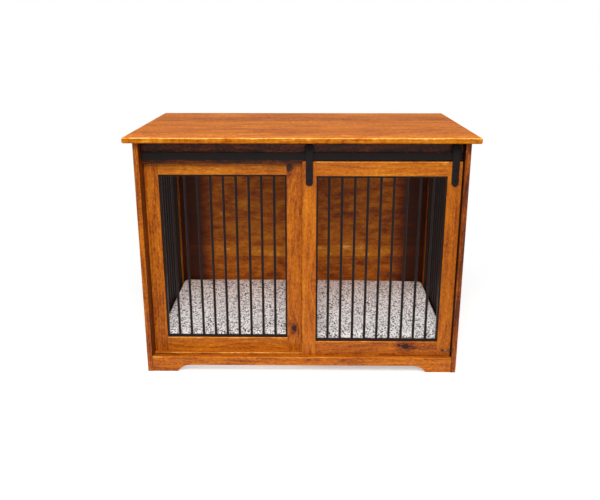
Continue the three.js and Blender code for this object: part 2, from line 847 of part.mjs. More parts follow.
function floorPad() {
  const halfX = innerHalf - padSideGap
  const halfY = (backFront - padBackGap - fixedBack - padFrontGap) / 2
  const outline = padOutline(halfX, halfY)
  const rows = []
  const row = (inset, scale, level) =>
    rows.push(
      outline.map((p) => {
        const x = (p.x - p.nx * inset) * scale
        const y = (p.y - p.ny * inset) * scale
        return [x, y, level * padHeight(x, y, halfX, halfY)]
      }),
    )
  // From the middle of the underside, round the lower roll, up the side and round the upper
  // roll, to the middle of the top.
  const rollSteps = 3
  const rollShare = padEdgeRoll / padEdgeHeight
  const underScale = 0.5
  const topScales = [0.84, 0.6, 0.3]
  const roll = Array.from({ length: rollSteps + 1 }, (_, i) => {
    const angle = ((i / rollSteps) * Math.PI) / 2
    return { inset: padEdgeRoll * (1 - Math.sin(angle)), rise: rollShare * (1 - Math.cos(angle)) }
  })
  row(padEdgeRoll, underScale, 0)
  for (const { inset, rise } of roll) row(inset, 1, rise)
  for (const { inset, rise } of roll.reverse()) row(inset, 1, 1 - rise)
  for (const scale of topScales) row(padEdgeRoll, scale, 1)

  const count = outline.length
  const positions = rows.flat(2)
  const lowest = positions.length / 3
  positions.push(0, 0, 0)
  positions.push(0, 0, padHeight(0, 0, halfX, halfY))
  const faces = []
  for (let i = 0; i < count; i++) {
    const next = (i + 1) % count
    faces.push(lowest, next, i)
    for (let r = 0; r + 1 < rows.length; r++) {
      const a = r * count
      const b = a + count
      faces.push(a + i, a + next, b + next, a + i, b + next, b + i)
    }
    const last = (rows.length - 1) * count
    faces.push(last + i, last + next, lowest + 1)
  }
  const geometry = new THREE.BufferGeometry()
  geometry.setAttribute('position', new THREE.Float32BufferAttribute(positions, 3))
  geometry.setIndex(faces)
  geometry.computeVertexNormals()
  return geometry
}

const pad = add(cabinet, 'floor_pad', floorPad(), tweed)
pad.position.set(0, (fixedBack + padFrontGap + backFront - padBackGap) / 2, ledgeTop + seatGap)

export default table
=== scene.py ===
# %% [markdown]
# A crate end table, dressed in Blender
#
# The frame is the mechanical model: its solids, its bodies and its joints, in metres, with the
# floor at height 0 and the front towards -Y. We never move those solids. We give them better
# materials, or put a finer piece in the same place and say which solid it stands for.

# %% Load the frame
import bpy
import bmesh
import json
import math
import numpy as np
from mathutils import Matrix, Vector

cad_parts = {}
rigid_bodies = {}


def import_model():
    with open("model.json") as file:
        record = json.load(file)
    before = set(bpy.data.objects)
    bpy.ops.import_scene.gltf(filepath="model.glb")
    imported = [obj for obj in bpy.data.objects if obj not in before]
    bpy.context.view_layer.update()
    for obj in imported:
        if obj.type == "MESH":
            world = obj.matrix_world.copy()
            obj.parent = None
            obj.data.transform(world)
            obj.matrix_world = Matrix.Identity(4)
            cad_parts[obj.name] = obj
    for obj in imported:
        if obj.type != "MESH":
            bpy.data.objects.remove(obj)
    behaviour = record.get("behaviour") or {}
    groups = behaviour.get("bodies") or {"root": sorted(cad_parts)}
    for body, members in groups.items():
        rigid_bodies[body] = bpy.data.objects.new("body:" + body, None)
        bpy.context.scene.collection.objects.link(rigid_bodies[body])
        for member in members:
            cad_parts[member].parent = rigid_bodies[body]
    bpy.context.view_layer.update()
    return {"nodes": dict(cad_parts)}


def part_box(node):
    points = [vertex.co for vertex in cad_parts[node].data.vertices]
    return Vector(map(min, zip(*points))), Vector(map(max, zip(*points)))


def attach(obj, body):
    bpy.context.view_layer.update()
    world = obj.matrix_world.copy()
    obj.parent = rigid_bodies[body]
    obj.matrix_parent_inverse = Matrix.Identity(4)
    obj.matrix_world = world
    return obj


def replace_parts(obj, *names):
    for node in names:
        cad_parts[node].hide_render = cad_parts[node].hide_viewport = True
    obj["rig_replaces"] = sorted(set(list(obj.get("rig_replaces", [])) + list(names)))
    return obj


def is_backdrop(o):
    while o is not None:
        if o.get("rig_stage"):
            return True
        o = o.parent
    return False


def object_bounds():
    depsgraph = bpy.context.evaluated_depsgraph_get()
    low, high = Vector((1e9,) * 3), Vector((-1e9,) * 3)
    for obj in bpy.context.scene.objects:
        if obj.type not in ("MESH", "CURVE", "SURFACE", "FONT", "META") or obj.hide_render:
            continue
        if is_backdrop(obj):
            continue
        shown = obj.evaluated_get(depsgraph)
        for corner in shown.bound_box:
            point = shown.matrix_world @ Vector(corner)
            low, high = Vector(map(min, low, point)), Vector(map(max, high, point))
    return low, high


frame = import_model()

# %% [markdown]
# Camera
#
# The picture was taken from in front and a little above, so that the table top shows as a narrow
# band. The lens and the place come from lining up the straight edges of the cabinet. A camera can
# be turned by hand or by angles: angles are clearer here, because a tilt of 17.4 degrees is the
# only one that matters.

# %% The camera
eye = bpy.data.cameras.new("Camera")
eye.lens, eye.sensor_width = 41.75, 36.0
camera = bpy.data.objects.new("Camera", eye)
camera.location = (0.0216, -2.726, 1.2272)
camera.rotation_euler = (math.radians(90 - 17.407), 0.0, math.radians(0.653))
bpy.context.collection.objects.link(camera)
bpy.context.scene.camera = camera
print("camera at", tuple(camera.location))

# %% [markdown]
# Helpers for materials
#
# A procedural material is a small chain of nodes. Writing each link by hand is slow to read, so
# one helper adds a node, sets its plain values and joins the sockets that come from other nodes.
# The rest are short names for the nodes that are used most.

# %% Add a node and join it
def step(tree, kind, inputs=(), **settings):
    """One node. inputs maps a socket's name or number to a value or to another node's socket."""
    node = tree.nodes.new("ShaderNode" + kind)
    for name, value in settings.items():
        setattr(node, name, value)
    for key, value in dict(inputs).items():
        if isinstance(value, bpy.types.NodeSocket):
            tree.links.new(value, node.inputs[key])
        else:
            node.inputs[key].default_value = value
    return node


def sums(tree, operation, a, b=0.0, c=0.0):
    """A Math node's result."""
    return step(tree, "Math", {0: a, 1: b, 2: c}, operation=operation).outputs[0]


def vectors(tree, operation, *inputs):
    """A Vector Math node's result."""
    node = step(tree, "VectorMath", enumerate(inputs), operation=operation)
    return node.outputs["Value" if operation == "LENGTH" else "Vector"]


def parts_of(tree, place):
    """X, Y and Z of a place."""
    return step(tree, "SeparateXYZ", {0: place}).outputs


def noise(tree, place, scale, detail=2.0, rough=0.5, output=0):
    """Noise from 0 to 1. A scale of three numbers stretches it along the axes."""
    if isinstance(scale, tuple):
        place, scale = vectors(tree, "MULTIPLY", place, scale), 1.0
    given = {"Vector": place, "Scale": scale, "Detail": detail, "Roughness": rough}
    return step(tree, "TexNoise", given).outputs[output]


def spread(tree, value, low, high, start=0.0, stop=1.0, curve="LINEAR"):
    """start up to value low, stop from value high, and a way between them."""
    given = {0: value, 1: low, 2: high, 3: start, 4: stop}
    return step(tree, "MapRange", given, interpolation_type=curve).outputs[0]


def mix_in(tree, shade, pattern, share):
    """A shade, plus a share of a pattern that is centred on 0.5."""
    return sums(tree, "MULTIPLY_ADD", sums(tree, "SUBTRACT", pattern, 0.5), share, shade)


def blend(tree, mode, factor, a, b):
    """A colour mix."""
    node = step(tree, "Mix", {0: factor, 6: a, 7: b}, data_type="RGBA", blend_type=mode)
    return node.outputs[2]


def ramp(tree, value, stops):
    """Colours spread along a value from 0 to 1."""
    node = step(tree, "ValToRGB", {0: value})
    marks = node.color_ramp.elements
    while len(marks) < len(stops):
        marks.new(0.5)
    for mark, (place, colour) in zip(marks, stops):
        mark.position = place
        mark.color = colour
    return node.outputs[0]


def seen(red, green, blue):
    """A colour as an eye reads it, 0 to 255, turned into the linear light that shaders use."""
    part = np.array([red, green, blue]) / 255
    linear = np.where(part <= 0.04045, part / 12.92, ((part + 0.055) / 1.055) ** 2.4)
    return (*linear.tolist(), 1.0)


# %% Start and end a material
def finish_of(name):
    """An empty material, its tree with an output, and the place on the piece in metres."""
    made = bpy.data.materials.new(name)
    made.use_nodes = True
    tree = made.node_tree
    tree.nodes.clear()
    tree.nodes.new("ShaderNodeOutputMaterial")
    return made, tree, tree.nodes.new("ShaderNodeTexCoord").outputs["Object"]


def show(made, shader):
    """Joins a shader node to the material's output."""
    out = next(n for n in made.node_tree.nodes if n.type == "OUTPUT_MATERIAL")
    made.node_tree.links.new(shader.outputs[0], out.inputs["Surface"])
    return made


def coat(made, looks, strength=0.0, distance=0.0, height=None):
    """One main shader with the given looks, and a bump where there is a height."""
    tree = made.node_tree
    if height is not None:
        bump = step(tree, "Bump", {"Strength": strength, "Distance": distance, "Height": height})
        looks["Normal"] = bump.outputs[0]
    return show(made, step(tree, "BsdfPrincipled", looks))


print("white paper is", seen(255, 255, 255))

# %% [markdown]
# Studio
#
# The table stands on a white sweep. The floor is a plain pale surface that still takes the
# table's shadow. Further out it fades to pure white, so no horizon shows. Two large soft lamps
# stand in front and above, a weaker one beside the camera reaches the back of the cabin, one at
# each side shines in through the open sides, and the white room fills in the rest.

# %% Floor and room
WHITE, PALE, BLACK = ((v, v, v, 1.0) for v in (1.0, 0.80, 0.0))
LIFT = 0.42             # light that the near floor adds for the camera alone
FADE = (0.75, 1.5)      # metres from the middle, where the floor turns to pure white
ROOM = 0.22             # light of the room on the table; the camera sees it as 1
FLOOR = 14.0            # metres from the middle to the floor's sides


def floor_sheet():
    """A flat square round the table."""
    mesh = bpy.data.meshes.new("floor_sheet")
    corners = [(x * FLOOR, y * FLOOR, 0) for x, y in ((-1, -1), (1, -1), (1, 1), (-1, 1))]
    mesh.from_pydata(corners, [], [(0, 1, 2, 3)])
    sheet = bpy.data.objects.new("floor_sheet", mesh)
    bpy.context.collection.objects.link(sheet)
    sheet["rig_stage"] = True
    return sheet


def direct_look(tree):
    """1 where the surface is seen by the camera, in a mirror or through glass, otherwise 0."""
    rays = tree.nodes.new("ShaderNodeLightPath").outputs
    seen_in = sums(tree, "MAXIMUM", rays["Is Camera Ray"], rays["Is Glossy Ray"])
    return sums(tree, "MAXIMUM", seen_in, rays["Is Transmission Ray"])


def matt_with_glow(tree, colour, glow):
    """A matt colour, plus light that lights nothing else."""
    matt = step(tree, "BsdfDiffuse", {"Color": colour}).outputs[0]
    strength = sums(tree, "MULTIPLY", direct_look(tree), glow)
    light = step(tree, "Emission", {"Color": WHITE, "Strength": strength}).outputs[0]
    return step(tree, "AddShader", {0: matt, 1: light}).outputs[0]


paper, tree, place = finish_of("white_paper")
far = spread(tree, vectors(tree, "LENGTH", place), *FADE, curve="SMOOTHSTEP")
floors = {0: far, 1: matt_with_glow(tree, PALE, LIFT), 2: matt_with_glow(tree, BLACK, 1.0)}
show(paper, step(tree, "MixShader", floors))
floor_sheet().data.materials.append(paper)

room = bpy.data.worlds.new("white_room")
room.use_nodes = True
tree = room.node_tree
tree.nodes.clear()
strength = spread(tree, direct_look(tree), 0.0, 1.0, ROOM, 1.0)
sky = step(tree, "Background", {"Color": WHITE, "Strength": strength})
tree.links.new(sky.outputs[0], tree.nodes.new("ShaderNodeOutputWorld").inputs["Surface"])
bpy.context.scene.world = room
bpy.context.scene.view_settings.view_transform = "Standard"
print("floor and room are white")

# %% Lamps
AIM = (0.0, 0.0, 0.45)


def lamp(name, place, size, power):
    """A square lamp that looks at the table."""
    light = bpy.data.lights.new(name, "AREA")
    light.shape, light.size, light.energy = "SQUARE", size, power
    body = bpy.data.objects.new(name, light)
    body.location = place
    back = np.array(place) - np.array(AIM)
    level = math.hypot(back[0], back[1])
    body.rotation_euler = (math.atan2(level, back[2]), 0.0, math.atan2(back[0], -back[1]))
    bpy.context.collection.objects.link(body)
    body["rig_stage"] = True


lamp("lamp_over_the_camera", (-0.15, -2.7, 2.9), 1.4, 84)
lamp("lamp_by_the_camera", (0.15, -3.2, 1.35), 1.0, 15)
lamp("lamp_above", (0.3, -1.2, 3.2), 2.2, 20)
lamp("lamp_left", (-2.4, -0.5, 1.9), 1.0, 26)
lamp("lamp_right", (2.4, -0.5, 1.9), 1.0, 26)

# %% [markdown]
# Wood
#
# Stained hardwood has three things that the eye reads: bands from the yearly rings, short dark
# pores along the grain, and stain that soaked in unevenly. A tree's rings are nested tubes, so
# the distance from a wandering centre line, cut by the board's face, gives real arches and
# stripes. Noise stretched along the grain gives the pores and the blotches. All boards share one
# node group, and each board turns it to its own grain and starts from its own place in the tree.

# %% The grain group
WANDER = 0.06                   # metres that the centre line strays
RINGS = 130.0                   # yearly rings in a metre
LATE, CLOSE = 2.2, 24.0         # how late a ring darkens, and how sharply it ends
GROUND, RING, PORE = 0.58, -0.15, -0.28     # the shade, and what rings and pores add to it
FIGURE = (                      # scale along, scale across, roughness, share
    (5.0, 17.0, 0.62, 0.62),    # uneven stain
    (14.0, 60.0, 0.60, 0.36), (9.0, 210.0, 0.60, 0.45),     # streaks
    (80.0, 180.0, 0.70, 0.85), (200.0, 600.0, 0.60, 0.40),  # flecks
)


def grain_group():
    """Inputs: the place on the board, metres, with the grain along X; a swirl in metres."""
    tree = bpy.data.node_groups.new("grain", "ShaderNodeTree")
    for name, kind, way in (
        ("Place", "NodeSocketVector", "INPUT"),
        ("Swirl", "NodeSocketFloat", "INPUT"),
        ("Shade", "NodeSocketFloat", "OUTPUT"),
        ("Pores", "NodeSocketFloat", "OUTPUT"),
    ):
        tree.interface.new_socket(name, in_out=way, socket_type=kind)
    given = tree.nodes.new("NodeGroupInput").outputs
    out = tree.nodes.new("NodeGroupOutput").inputs
    place = given["Place"]

    # The ring distance: wander across and through the board, then the length of what is left.
    wander = noise(tree, place, (1.6, 4.0, 4.0), output="Color")
    shift = vectors(tree, "SUBTRACT", wander, (0.5, 0.5, 0.5))
    moved = vectors(tree, "MULTIPLY_ADD", shift, (0.0, WANDER, WANDER), place)
    radius = vectors(tree, "LENGTH", vectors(tree, "MULTIPLY", moved, (0, 1, 1)))
    radius = sums(tree, "ADD", radius, given["Swirl"])
    year = sums(tree, "FRACT", sums(tree, "MULTIPLY", radius, RINGS))
    ended = sums(tree, "SUBTRACT", 1.0, sums(tree, "POWER", year, CLOSE))
    ring = sums(tree, "MULTIPLY", sums(tree, "POWER", year, LATE), ended)

    shade = sums(tree, "MULTIPLY_ADD", ring, RING, GROUND)
    for along, across, rough, share in FIGURE:
        pattern = noise(tree, place, (along, across, across), 3.0, rough)
        shade = mix_in(tree, shade, pattern, share)
    pore = noise(tree, place, (60.0, 1100.0, 1100.0), 1.0)
    pores = spread(tree, pore, 0.60, 0.72, curve="SMOOTHSTEP")
    tree.links.new(sums(tree, "MULTIPLY_ADD", pores, PORE, shade), out["Shade"])
    tree.links.new(pores, out["Pores"])
    return tree


grain = grain_group()
print("grain group has", len(grain.nodes), "nodes")

# %% [markdown]
# Boards and their finish
#
# The stain is a warm orange brown under a satin varnish. The colour of each board comes from one
# ramp, from the dark of the late rings to the pale ground. A board's tone shifts that ramp a
# little, as boards from different trees take stain differently. The varnish is the shader's own
# gloss: its roughness, and a low specular level.

# %% Glued boards and knots
TURN = {
    "x": (0.0, 0.0, 0.0),
    "y": (0.0, 0.0, math.radians(-90)),
    "z": (0.0, math.radians(90), 0.0),
}
STAIN = (
    (0.0, seen(40, 14, 3)), (0.12, seen(74, 28, 4)), (0.32, seen(136, 61, 8)),
    (0.55, seen(184, 97, 13)), (0.80, seen(212, 125, 22)), (0.93, seen(233, 154, 48)),
    (1.0, seen(250, 196, 120)),
)
KNOT_SHAPE = {"x": (1.6, 1.0, 1.0), "z": (1.0, 1.0, 1.6)}     # longer along the grain
BOARDS_DIFFER = 0.16                        # share of the random tint of a glued board
# an eased edge turns paler by wear and by a painted highlight, most where it faces up
EDGE_WEAR_AND_HIGHLIGHT, EDGE_ROUGHER = 0.42, -0.2       # what an eased edge adds
PORE_ROUGHER, SHADE_HEIGHT = 0.22, 0.35     # what a pore adds, and how far dark bands sink


def glued_boards(tree, place, axis, joints):
    """For each board between the joints, a random number and a random place in the tree."""
    across = parts_of(tree, place)[axis]
    count = 0.0
    for joint in joints:
        count = sums(tree, "ADD", count, sums(tree, "GREATER_THAN", across, joint))
    pick = step(tree, "TexWhiteNoise", {"W": count}, noise_dimensions="1D").outputs
    return pick["Value"], vectors(tree, "MULTIPLY", pick["Color"], (9.0, 0.0, 0.9))


def knots_in(tree, place, along, knots):
    """How far the rings swirl out round the knots, in metres, and how dark the knots are. Both
    depend on the distance from the knot's centre in knot sizes, made ragged by noise: the swirl
    is a bell curve, the core is dark up to 0.4 sizes, and a faint halo reaches 3.2."""
    ragged = noise(tree, place, 170.0)
    swirl, dark = 0.0, 0.0
    for centre, size, depth in knots:
        away = vectors(tree, "SUBTRACT", place, centre)
        away = vectors(tree, "MULTIPLY", away, tuple(1 / (s * size) for s in KNOT_SHAPE[along]))
        near = sums(tree, "SUBTRACT", vectors(tree, "LENGTH", away), 0.65)
        near = sums(tree, "MULTIPLY_ADD", ragged, 1.3, near)
        squared = sums(tree, "MULTIPLY", near, near)
        bell = sums(tree, "POWER", 2.718, sums(tree, "MULTIPLY", squared, -0.16))
        swirl = sums(tree, "MULTIPLY_ADD", bell, size * 1.4, swirl)
        core = spread(tree, near, 0.4, 1.2, depth, 0.0)
        halo = spread(tree, near, 0.8, 3.2, depth * 0.3, 0.0)
        dark = sums(tree, "MAXIMUM", dark, sums(tree, "MAXIMUM", core, halo))
    return swirl, dark


# %% A stained board
def stained(name, along="x", seed=0.0, tone=1.0, gloss=0.42, shine=0.22,
            planks=None, knots=(), change=None):
    """A board's material. planks is an axis number and the joints between glued boards; a knot is
    its centre, its radius across the grain, and how dark it is; change is a function that turns
    the shade at a place into another. Eased edges are paler, by wear and by a painted highlight
    that is strongest where they face up, and glossier; pores are rougher."""
    made, tree, place = finish_of(name)
    turned = step(tree, "Mapping", {"Vector": place, "Rotation": TURN[along]}).outputs[0]
    spot = vectors(tree, "ADD", turned, (seed * 3.7, 0.055 + 0.9 * seed, 0.04 + 0.3 * seed))
    if planks:
        tint, far = glued_boards(tree, place, *planks)
        spot = vectors(tree, "ADD", spot, far)
    swirl, dark = knots_in(tree, place, along, knots) if knots else (0.0, 0.0)
    figure = step(tree, "Group", {"Place": spot, "Swirl": swirl}, node_tree=grain).outputs
    shade, pores = figure["Shade"], figure["Pores"]
    if planks:
        shade = mix_in(tree, shade, tint, BOARDS_DIFFER)
    shade = sums(tree, "ADD", shade, tone - 1.0)
    if change:
        shade = change(tree, place, shade)
    edge = step(tree, "Attribute", attribute_name="arris").outputs["Fac"]
    # painted highlight and wear: eased edges turn paler
    shade = sums(tree, "MULTIPLY_ADD", edge, EDGE_WEAR_AND_HIGHLIGHT, shade)
    shade = sums(tree, "SUBTRACT", shade, dark)
    rough = sums(tree, "MULTIPLY_ADD", pores, PORE_ROUGHER, gloss)
    rough = sums(tree, "MULTIPLY_ADD", edge, EDGE_ROUGHER, rough)
    height = sums(tree, "SUBTRACT", sums(tree, "MULTIPLY", shade, SHADE_HEIGHT), pores)
    looks = {"Base Color": ramp(tree, shade, STAIN), "Roughness": rough,
             "Specular IOR Level": shine}
    return coat(made, looks, 0.16, 0.0006, height)


print("stain runs over", len(STAIN), "stops")

# %% [markdown]
# Steel and wire
#
# The bar, the wheels, the straps and the rods are steel with a black powder coat: nearly black,
# a soft sheen, and a very fine orange peel. The hook and its eyes are blackened wire, which is
# bare metal and so shines more.

# %% Black steel and dark wire
def powder_coat(name, colour, gloss, peel, shine):
    """Black paint baked on steel, with a fine bump that is even all round."""
    made, tree, place = finish_of(name)
    dust = noise(tree, place, 35.0, 3.0)
    dusty = tuple(1.5 * c for c in colour[:3]) + (1.0,)
    looks = {"Base Color": blend(tree, "MIX", dust, colour, dusty),
             "Roughness": sums(tree, "MULTIPLY_ADD", dust, 0.18, gloss),
             "Specular IOR Level": shine}
    return coat(made, looks, peel, 0.0003, noise(tree, place, 900.0))


def blackened(name):
    """Dark metal with lighter patches where its blackening has gone thin with use."""
    made, tree, place = finish_of(name)
    paleness = noise(tree, place, 260.0, 4.0)
    looks = {"Base Color": ramp(tree, paleness, ((0.35, seen(44, 38, 34)), (0.75, seen(92, 82, 72)))),
             "Metallic": 0.9, "Roughness": sums(tree, "MULTIPLY_ADD", paleness, 0.3, 0.22)}
    return coat(made, looks)


black_steel = powder_coat("black_steel", seen(22, 17, 17), 0.5, 0.2, 0.12)
rod_steel = powder_coat("rod_steel", seen(25, 13, 9), 0.22, 0.5, 0.17)
dark_wire = blackened("dark_wire")
print("steel:", black_steel.name, "wire:", dark_wire.name)

# %% [markdown]
# Surfaces from numbers
#
# Every new piece is a skin over a stack of rings. A ring is a closed loop of points, and all the
# rings of one piece have the same number of points, so ring i and point k make a grid. For a
# board, the ring is its section and the stack runs along it. For a wheel, the ring is a point of
# its profile taken round the axle. For a wire, it is a circle carried along a path. One function
# turns the grid into faces.

# %% The skin over a stack of rings
def skin(rings, ends="caps", wear_and_highlight=None):
    """rings is an array (rings, points, 3). Ring i joins ring i + 1, and point k joins point
    k + 1. ends is caps for flat ends, loop where the last ring meets the first, or open. The last
    argument is how much each point lies on an eased edge, from 0 to 1; later it makes the edge
    paler, as wear and as a painted highlight."""
    count, points = rings.shape[:2]
    index = np.arange(count * points).reshape(count, points)
    near, far = index, np.roll(index, -1, axis=0)
    if ends != "loop":
        near, far = near[:-1], far[:-1]
    quads = np.stack([near, np.roll(near, -1, 1), np.roll(far, -1, 1), far], -1).reshape(-1, 4)
    faces = quads.tolist()
    if ends == "caps":
        faces += [index[0][::-1].tolist(), index[-1].tolist()]
    wear_and_highlight = np.zeros((count, points)) if wear_and_highlight is None else np.broadcast_to(wear_and_highlight, (count, points))
    return rings.reshape(-1, 3), faces, wear_and_highlight.ravel()


def paint_highlight_on_upper_edges(mesh):
    """Painted highlight: eased edges turn paler where they face up, as if lit from above, over a
    little wear on every edge. Each point's value is multiplied by 0.15 plus the upward part of its
    normal."""
    normals = np.zeros(len(mesh.vertices) * 3, np.float32)
    mesh.vertices.foreach_get("normal", normals)
    values = np.zeros(len(mesh.vertices), np.float32)
    edge = mesh.attributes["arris"].data
    edge.foreach_get("value", values)
    edge.foreach_set("value", values * (0.15 + np.clip(normals.reshape(-1, 3)[:, 2], 0, 1)))


def piece(name, parts, finish, body, stands_for, crease=35):
    """A named object made of one or more skins, in metres. Doubles are merged, faces point
    outwards, and edges sharper than crease, in degrees, stay crisp."""
    points, faces, wear_and_highlight, start = [], [], [], 0
    for part_points, part_faces, part_wear_and_highlight in parts:
        points.append(part_points)
        wear_and_highlight.append(part_wear_and_highlight)
        faces += [[start + i for i in face] for face in part_faces]
        start += len(part_points)
    mesh = bpy.data.meshes.new(name)
    mesh.from_pydata(np.concatenate(points).tolist(), [], faces)
    edge = mesh.attributes.new("arris", "FLOAT", "POINT")
    edge.data.foreach_set("value", np.concatenate(wear_and_highlight).astype(np.float32))
    work = bmesh.new()
    work.from_mesh(mesh)
    bmesh.ops.remove_doubles(work, verts=work.verts, dist=2e-6)
    bmesh.ops.dissolve_degenerate(work, edges=work.edges, dist=1e-6)
    bmesh.ops.recalc_face_normals(work, faces=work.faces)
    work.to_mesh(mesh)
    work.free()
    # painted highlight: eased edges that face up turn paler, as if lit from above
    paint_highlight_on_upper_edges(mesh)
    mesh.polygons.foreach_set("use_smooth", np.ones(len(mesh.polygons), bool))
    mesh.set_sharp_from_angle(angle=math.radians(crease))
    mesh.materials.append(finish)
    made = bpy.data.objects.new(name, mesh)
    bpy.context.collection.objects.link(made)
    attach(made, body)
    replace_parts(made, *stands_for)
    return made


def steel_piece(name, node, shape, body):
    """One skin in black steel that stands for one solid."""
    return piece(name, [shape], black_steel, body, (node,))


print("a skin of 3 rings of 4 points has", len(skin(np.zeros((3, 4, 3)))[1]), "faces")

# %% A section with eased corners
SHOULDER = 3e-4     # one more point on the flat, this far from each eased edge
FULL_WEAR_AND_HIGHLIGHT = 2e-3    # an edge of this radius or more is paler in full, by wear and painted highlight


def unit(rows):
    """Each row as a direction of length 1."""
    return rows / np.linalg.norm(rows, axis=1)[:, None]


def section(corners, radii, inset=0.0, steps=3):
    """A closed outline whose sides run along the two axes. Each corner becomes a quarter circle
    of its own radius, with one more point on the flat at each side, so that the flat shades
    flat. inset draws the whole outline in by that much."""
    corners = np.asarray(corners, float)
    back = unit(np.roll(corners, 1, 0) - corners)
    ahead = unit(np.roll(corners, -1, 0) - corners)
    turn = np.sign(-back[:, 0] * ahead[:, 1] + back[:, 1] * ahead[:, 0])
    moved = corners + (turn * inset)[:, None] * (back + ahead)
    radii = np.clip(np.asarray(radii, float) - turn * inset, 0, None)[:, None]
    centre = moved + radii * (back + ahead)
    angle = np.linspace(0, math.pi / 2, steps + 1)[:, None, None]
    arcs = centre - radii * (np.cos(angle) * ahead + np.sin(angle) * back)
    before, after = arcs[:1] + SHOULDER * back, arcs[-1:] + SHOULDER * ahead
    return np.concatenate([before, arcs, after]).transpose(1, 0, 2).reshape(-1, 2)


def edge_wear_and_highlight(radii, steps=3):
    """For each point of each eased edge, how much it is paled by wear and by painted highlight:
    most in the middle of the curve, nothing on the flats."""
    arc = np.sin(np.linspace(0.25, math.pi - 0.25, steps + 1))
    corner = np.concatenate([[0.0], arc, [0.0]])
    return (np.clip(np.asarray(radii, float)[:, None] / FULL_WEAR_AND_HIGHLIGHT, 0, 1) * corner).ravel()


def rolled_edge(radius, steps):
    """How far a rounded end draws in, and how far each ring lies from the end."""
    angle = np.linspace(0, math.pi / 2, steps + 1)
    inset = np.concatenate([[radius + SHOULDER], radius * (1 - np.sin(angle)), [0.0]])
    depth = np.concatenate([[0.0], radius * (1 - np.cos(angle)), [radius + SHOULDER]])
    return inset, depth


example = section([(0, 0), (0.05, 0), (0.05, 0.019), (0, 0.019)], [0.002] * 4)
width = round(float(np.ptp(example[:, 0])), 4)
print("a plain section has", len(example), "points, width", width)

# %% Boards
AXES = {"x": 0, "y": 1, "z": 2}
ARRIS = 0.0028


def board(span, along, radii=(ARRIS,) * 4, end_radius=0.001, lip=None):
    """A board between two corners of space. Its section is carried along its length, smaller in
    the last millimetre at each end. lip describes a rabbet cut behind a lip: the axis across it
    and the side it lies on, the axis through it and the side of the face, its width, the lip's
    depth, and the two places along the board where it starts and stops."""
    low, high = (np.array(corner, float) for corner in span)
    run = AXES[along]
    u, v = [axis for axis in range(3) if axis != run]
    if lip:
        u, v = AXES[lip["across"]], AXES[lip["through"]]
    across = [low[u], high[u]]
    through = [low[v], high[v]]
    if lip and lip["side"] < 0:
        across.reverse()
    if lip and lip["face"] > 0:
        through.reverse()
    width, depth = abs(across[1] - across[0]), abs(through[1] - through[0])
    stations, paleness = [], []

    def ring(kind, place, inset=0.0):
        """The full section repeats one point, so that it has as many as the lipped one."""
        if kind == "full":
            square = section([(0, 0), (width, 0), (width, depth), (0, depth)], radii, inset)
            per = len(square) // 4
            filler = np.repeat(square[3 * per - 1:3 * per], 2 * per, axis=0)
            flat = np.concatenate([square[:3 * per], filler, square[3 * per:]])
            wear_and_highlight_part = edge_wear_and_highlight([radii[0], radii[1], radii[2], 0, 0, radii[3]])
        else:
            w, d = lip["width"], lip["depth"]
            shape = [(0, 0), (width, 0), (width, d), (width - w, d), (width - w, depth), (0, depth)]
            flat = section(shape, [radii[0], radii[1], 4e-4, 0, 4e-4, radii[3]], inset)
            wear_and_highlight_part = edge_wear_and_highlight([radii[0], radii[1], 0, 0, 0, radii[3]])
        points = np.zeros((len(flat), 3))
        points[:, u] = across[0] + flat[:, 0] * np.sign(across[1] - across[0])
        points[:, v] = through[0] + flat[:, 1] * np.sign(through[1] - through[0])
        points[:, run] = place
        stations.append(points)
        paleness.append(wear_and_highlight_part)

    start, stop = low[run], high[run]
    lipped_ends = bool(lip) and lip["start"] <= start
    kind = "lipped" if lipped_ends else "full"
    end = list(zip(*rolled_edge(end_radius, 3)))
    for inset, distance in end:
        ring(kind, start + distance, inset)
    if lip and not lipped_ends:
        ring("full", lip["start"])
        ring("lipped", lip["start"])
        ring("lipped", lip["stop"])
        ring("full", lip["stop"])
    for inset, distance in reversed(end):
        ring(kind, stop - distance, inset)
    return skin(np.array(stations), wear_and_highlight=np.array(paleness))


print("boards have an arris of", ARRIS * 1000, "mm")

# %% [markdown]
# The frames
#
# Each grille sits in a wooden frame: two stiles that run from end to end, and two rails between
# them. On the inside the frame is cut away behind a thin lip, and the grille lies in that step.
# A modeller could boolean the step out, but here the section itself changes shape where the step
# starts, which gives clean faces. The rails' tenons are inside the stiles, so the visible rail
# stops at the stile.

# %% How the boards of the frames differ, and where shade and light are painted on them
SIDE_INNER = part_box("left_bottom_rail")[1][0]
SIDE_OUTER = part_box("left_rear_stile")[0][0]
SIDE_FRONT = -0.3495


def darker_on(**amounts):
    """A change for a side frame's board: it adds an amount to the shade on each face named. The
    inside faces the cabin, and its darkening is painted shade; the front is the narrow one, the
    outside is the left frame's."""
    def change(tree, place, shade):
        x, y, _ = parts_of(tree, place)
        faces = {
            "inside": (sums(tree, "ABSOLUTE", x), -SIDE_INNER),
            "front": (y, SIDE_FRONT),
            "outside": (x, SIDE_OUTER),
        }
        for face, amount in amounts.items():
            value, limit = faces[face]
            here = sums(tree, "LESS_THAN", value, limit + 5e-4)
            shade = sums(tree, "MULTIPLY_ADD", here, amount, shade)
        return shade
    return change


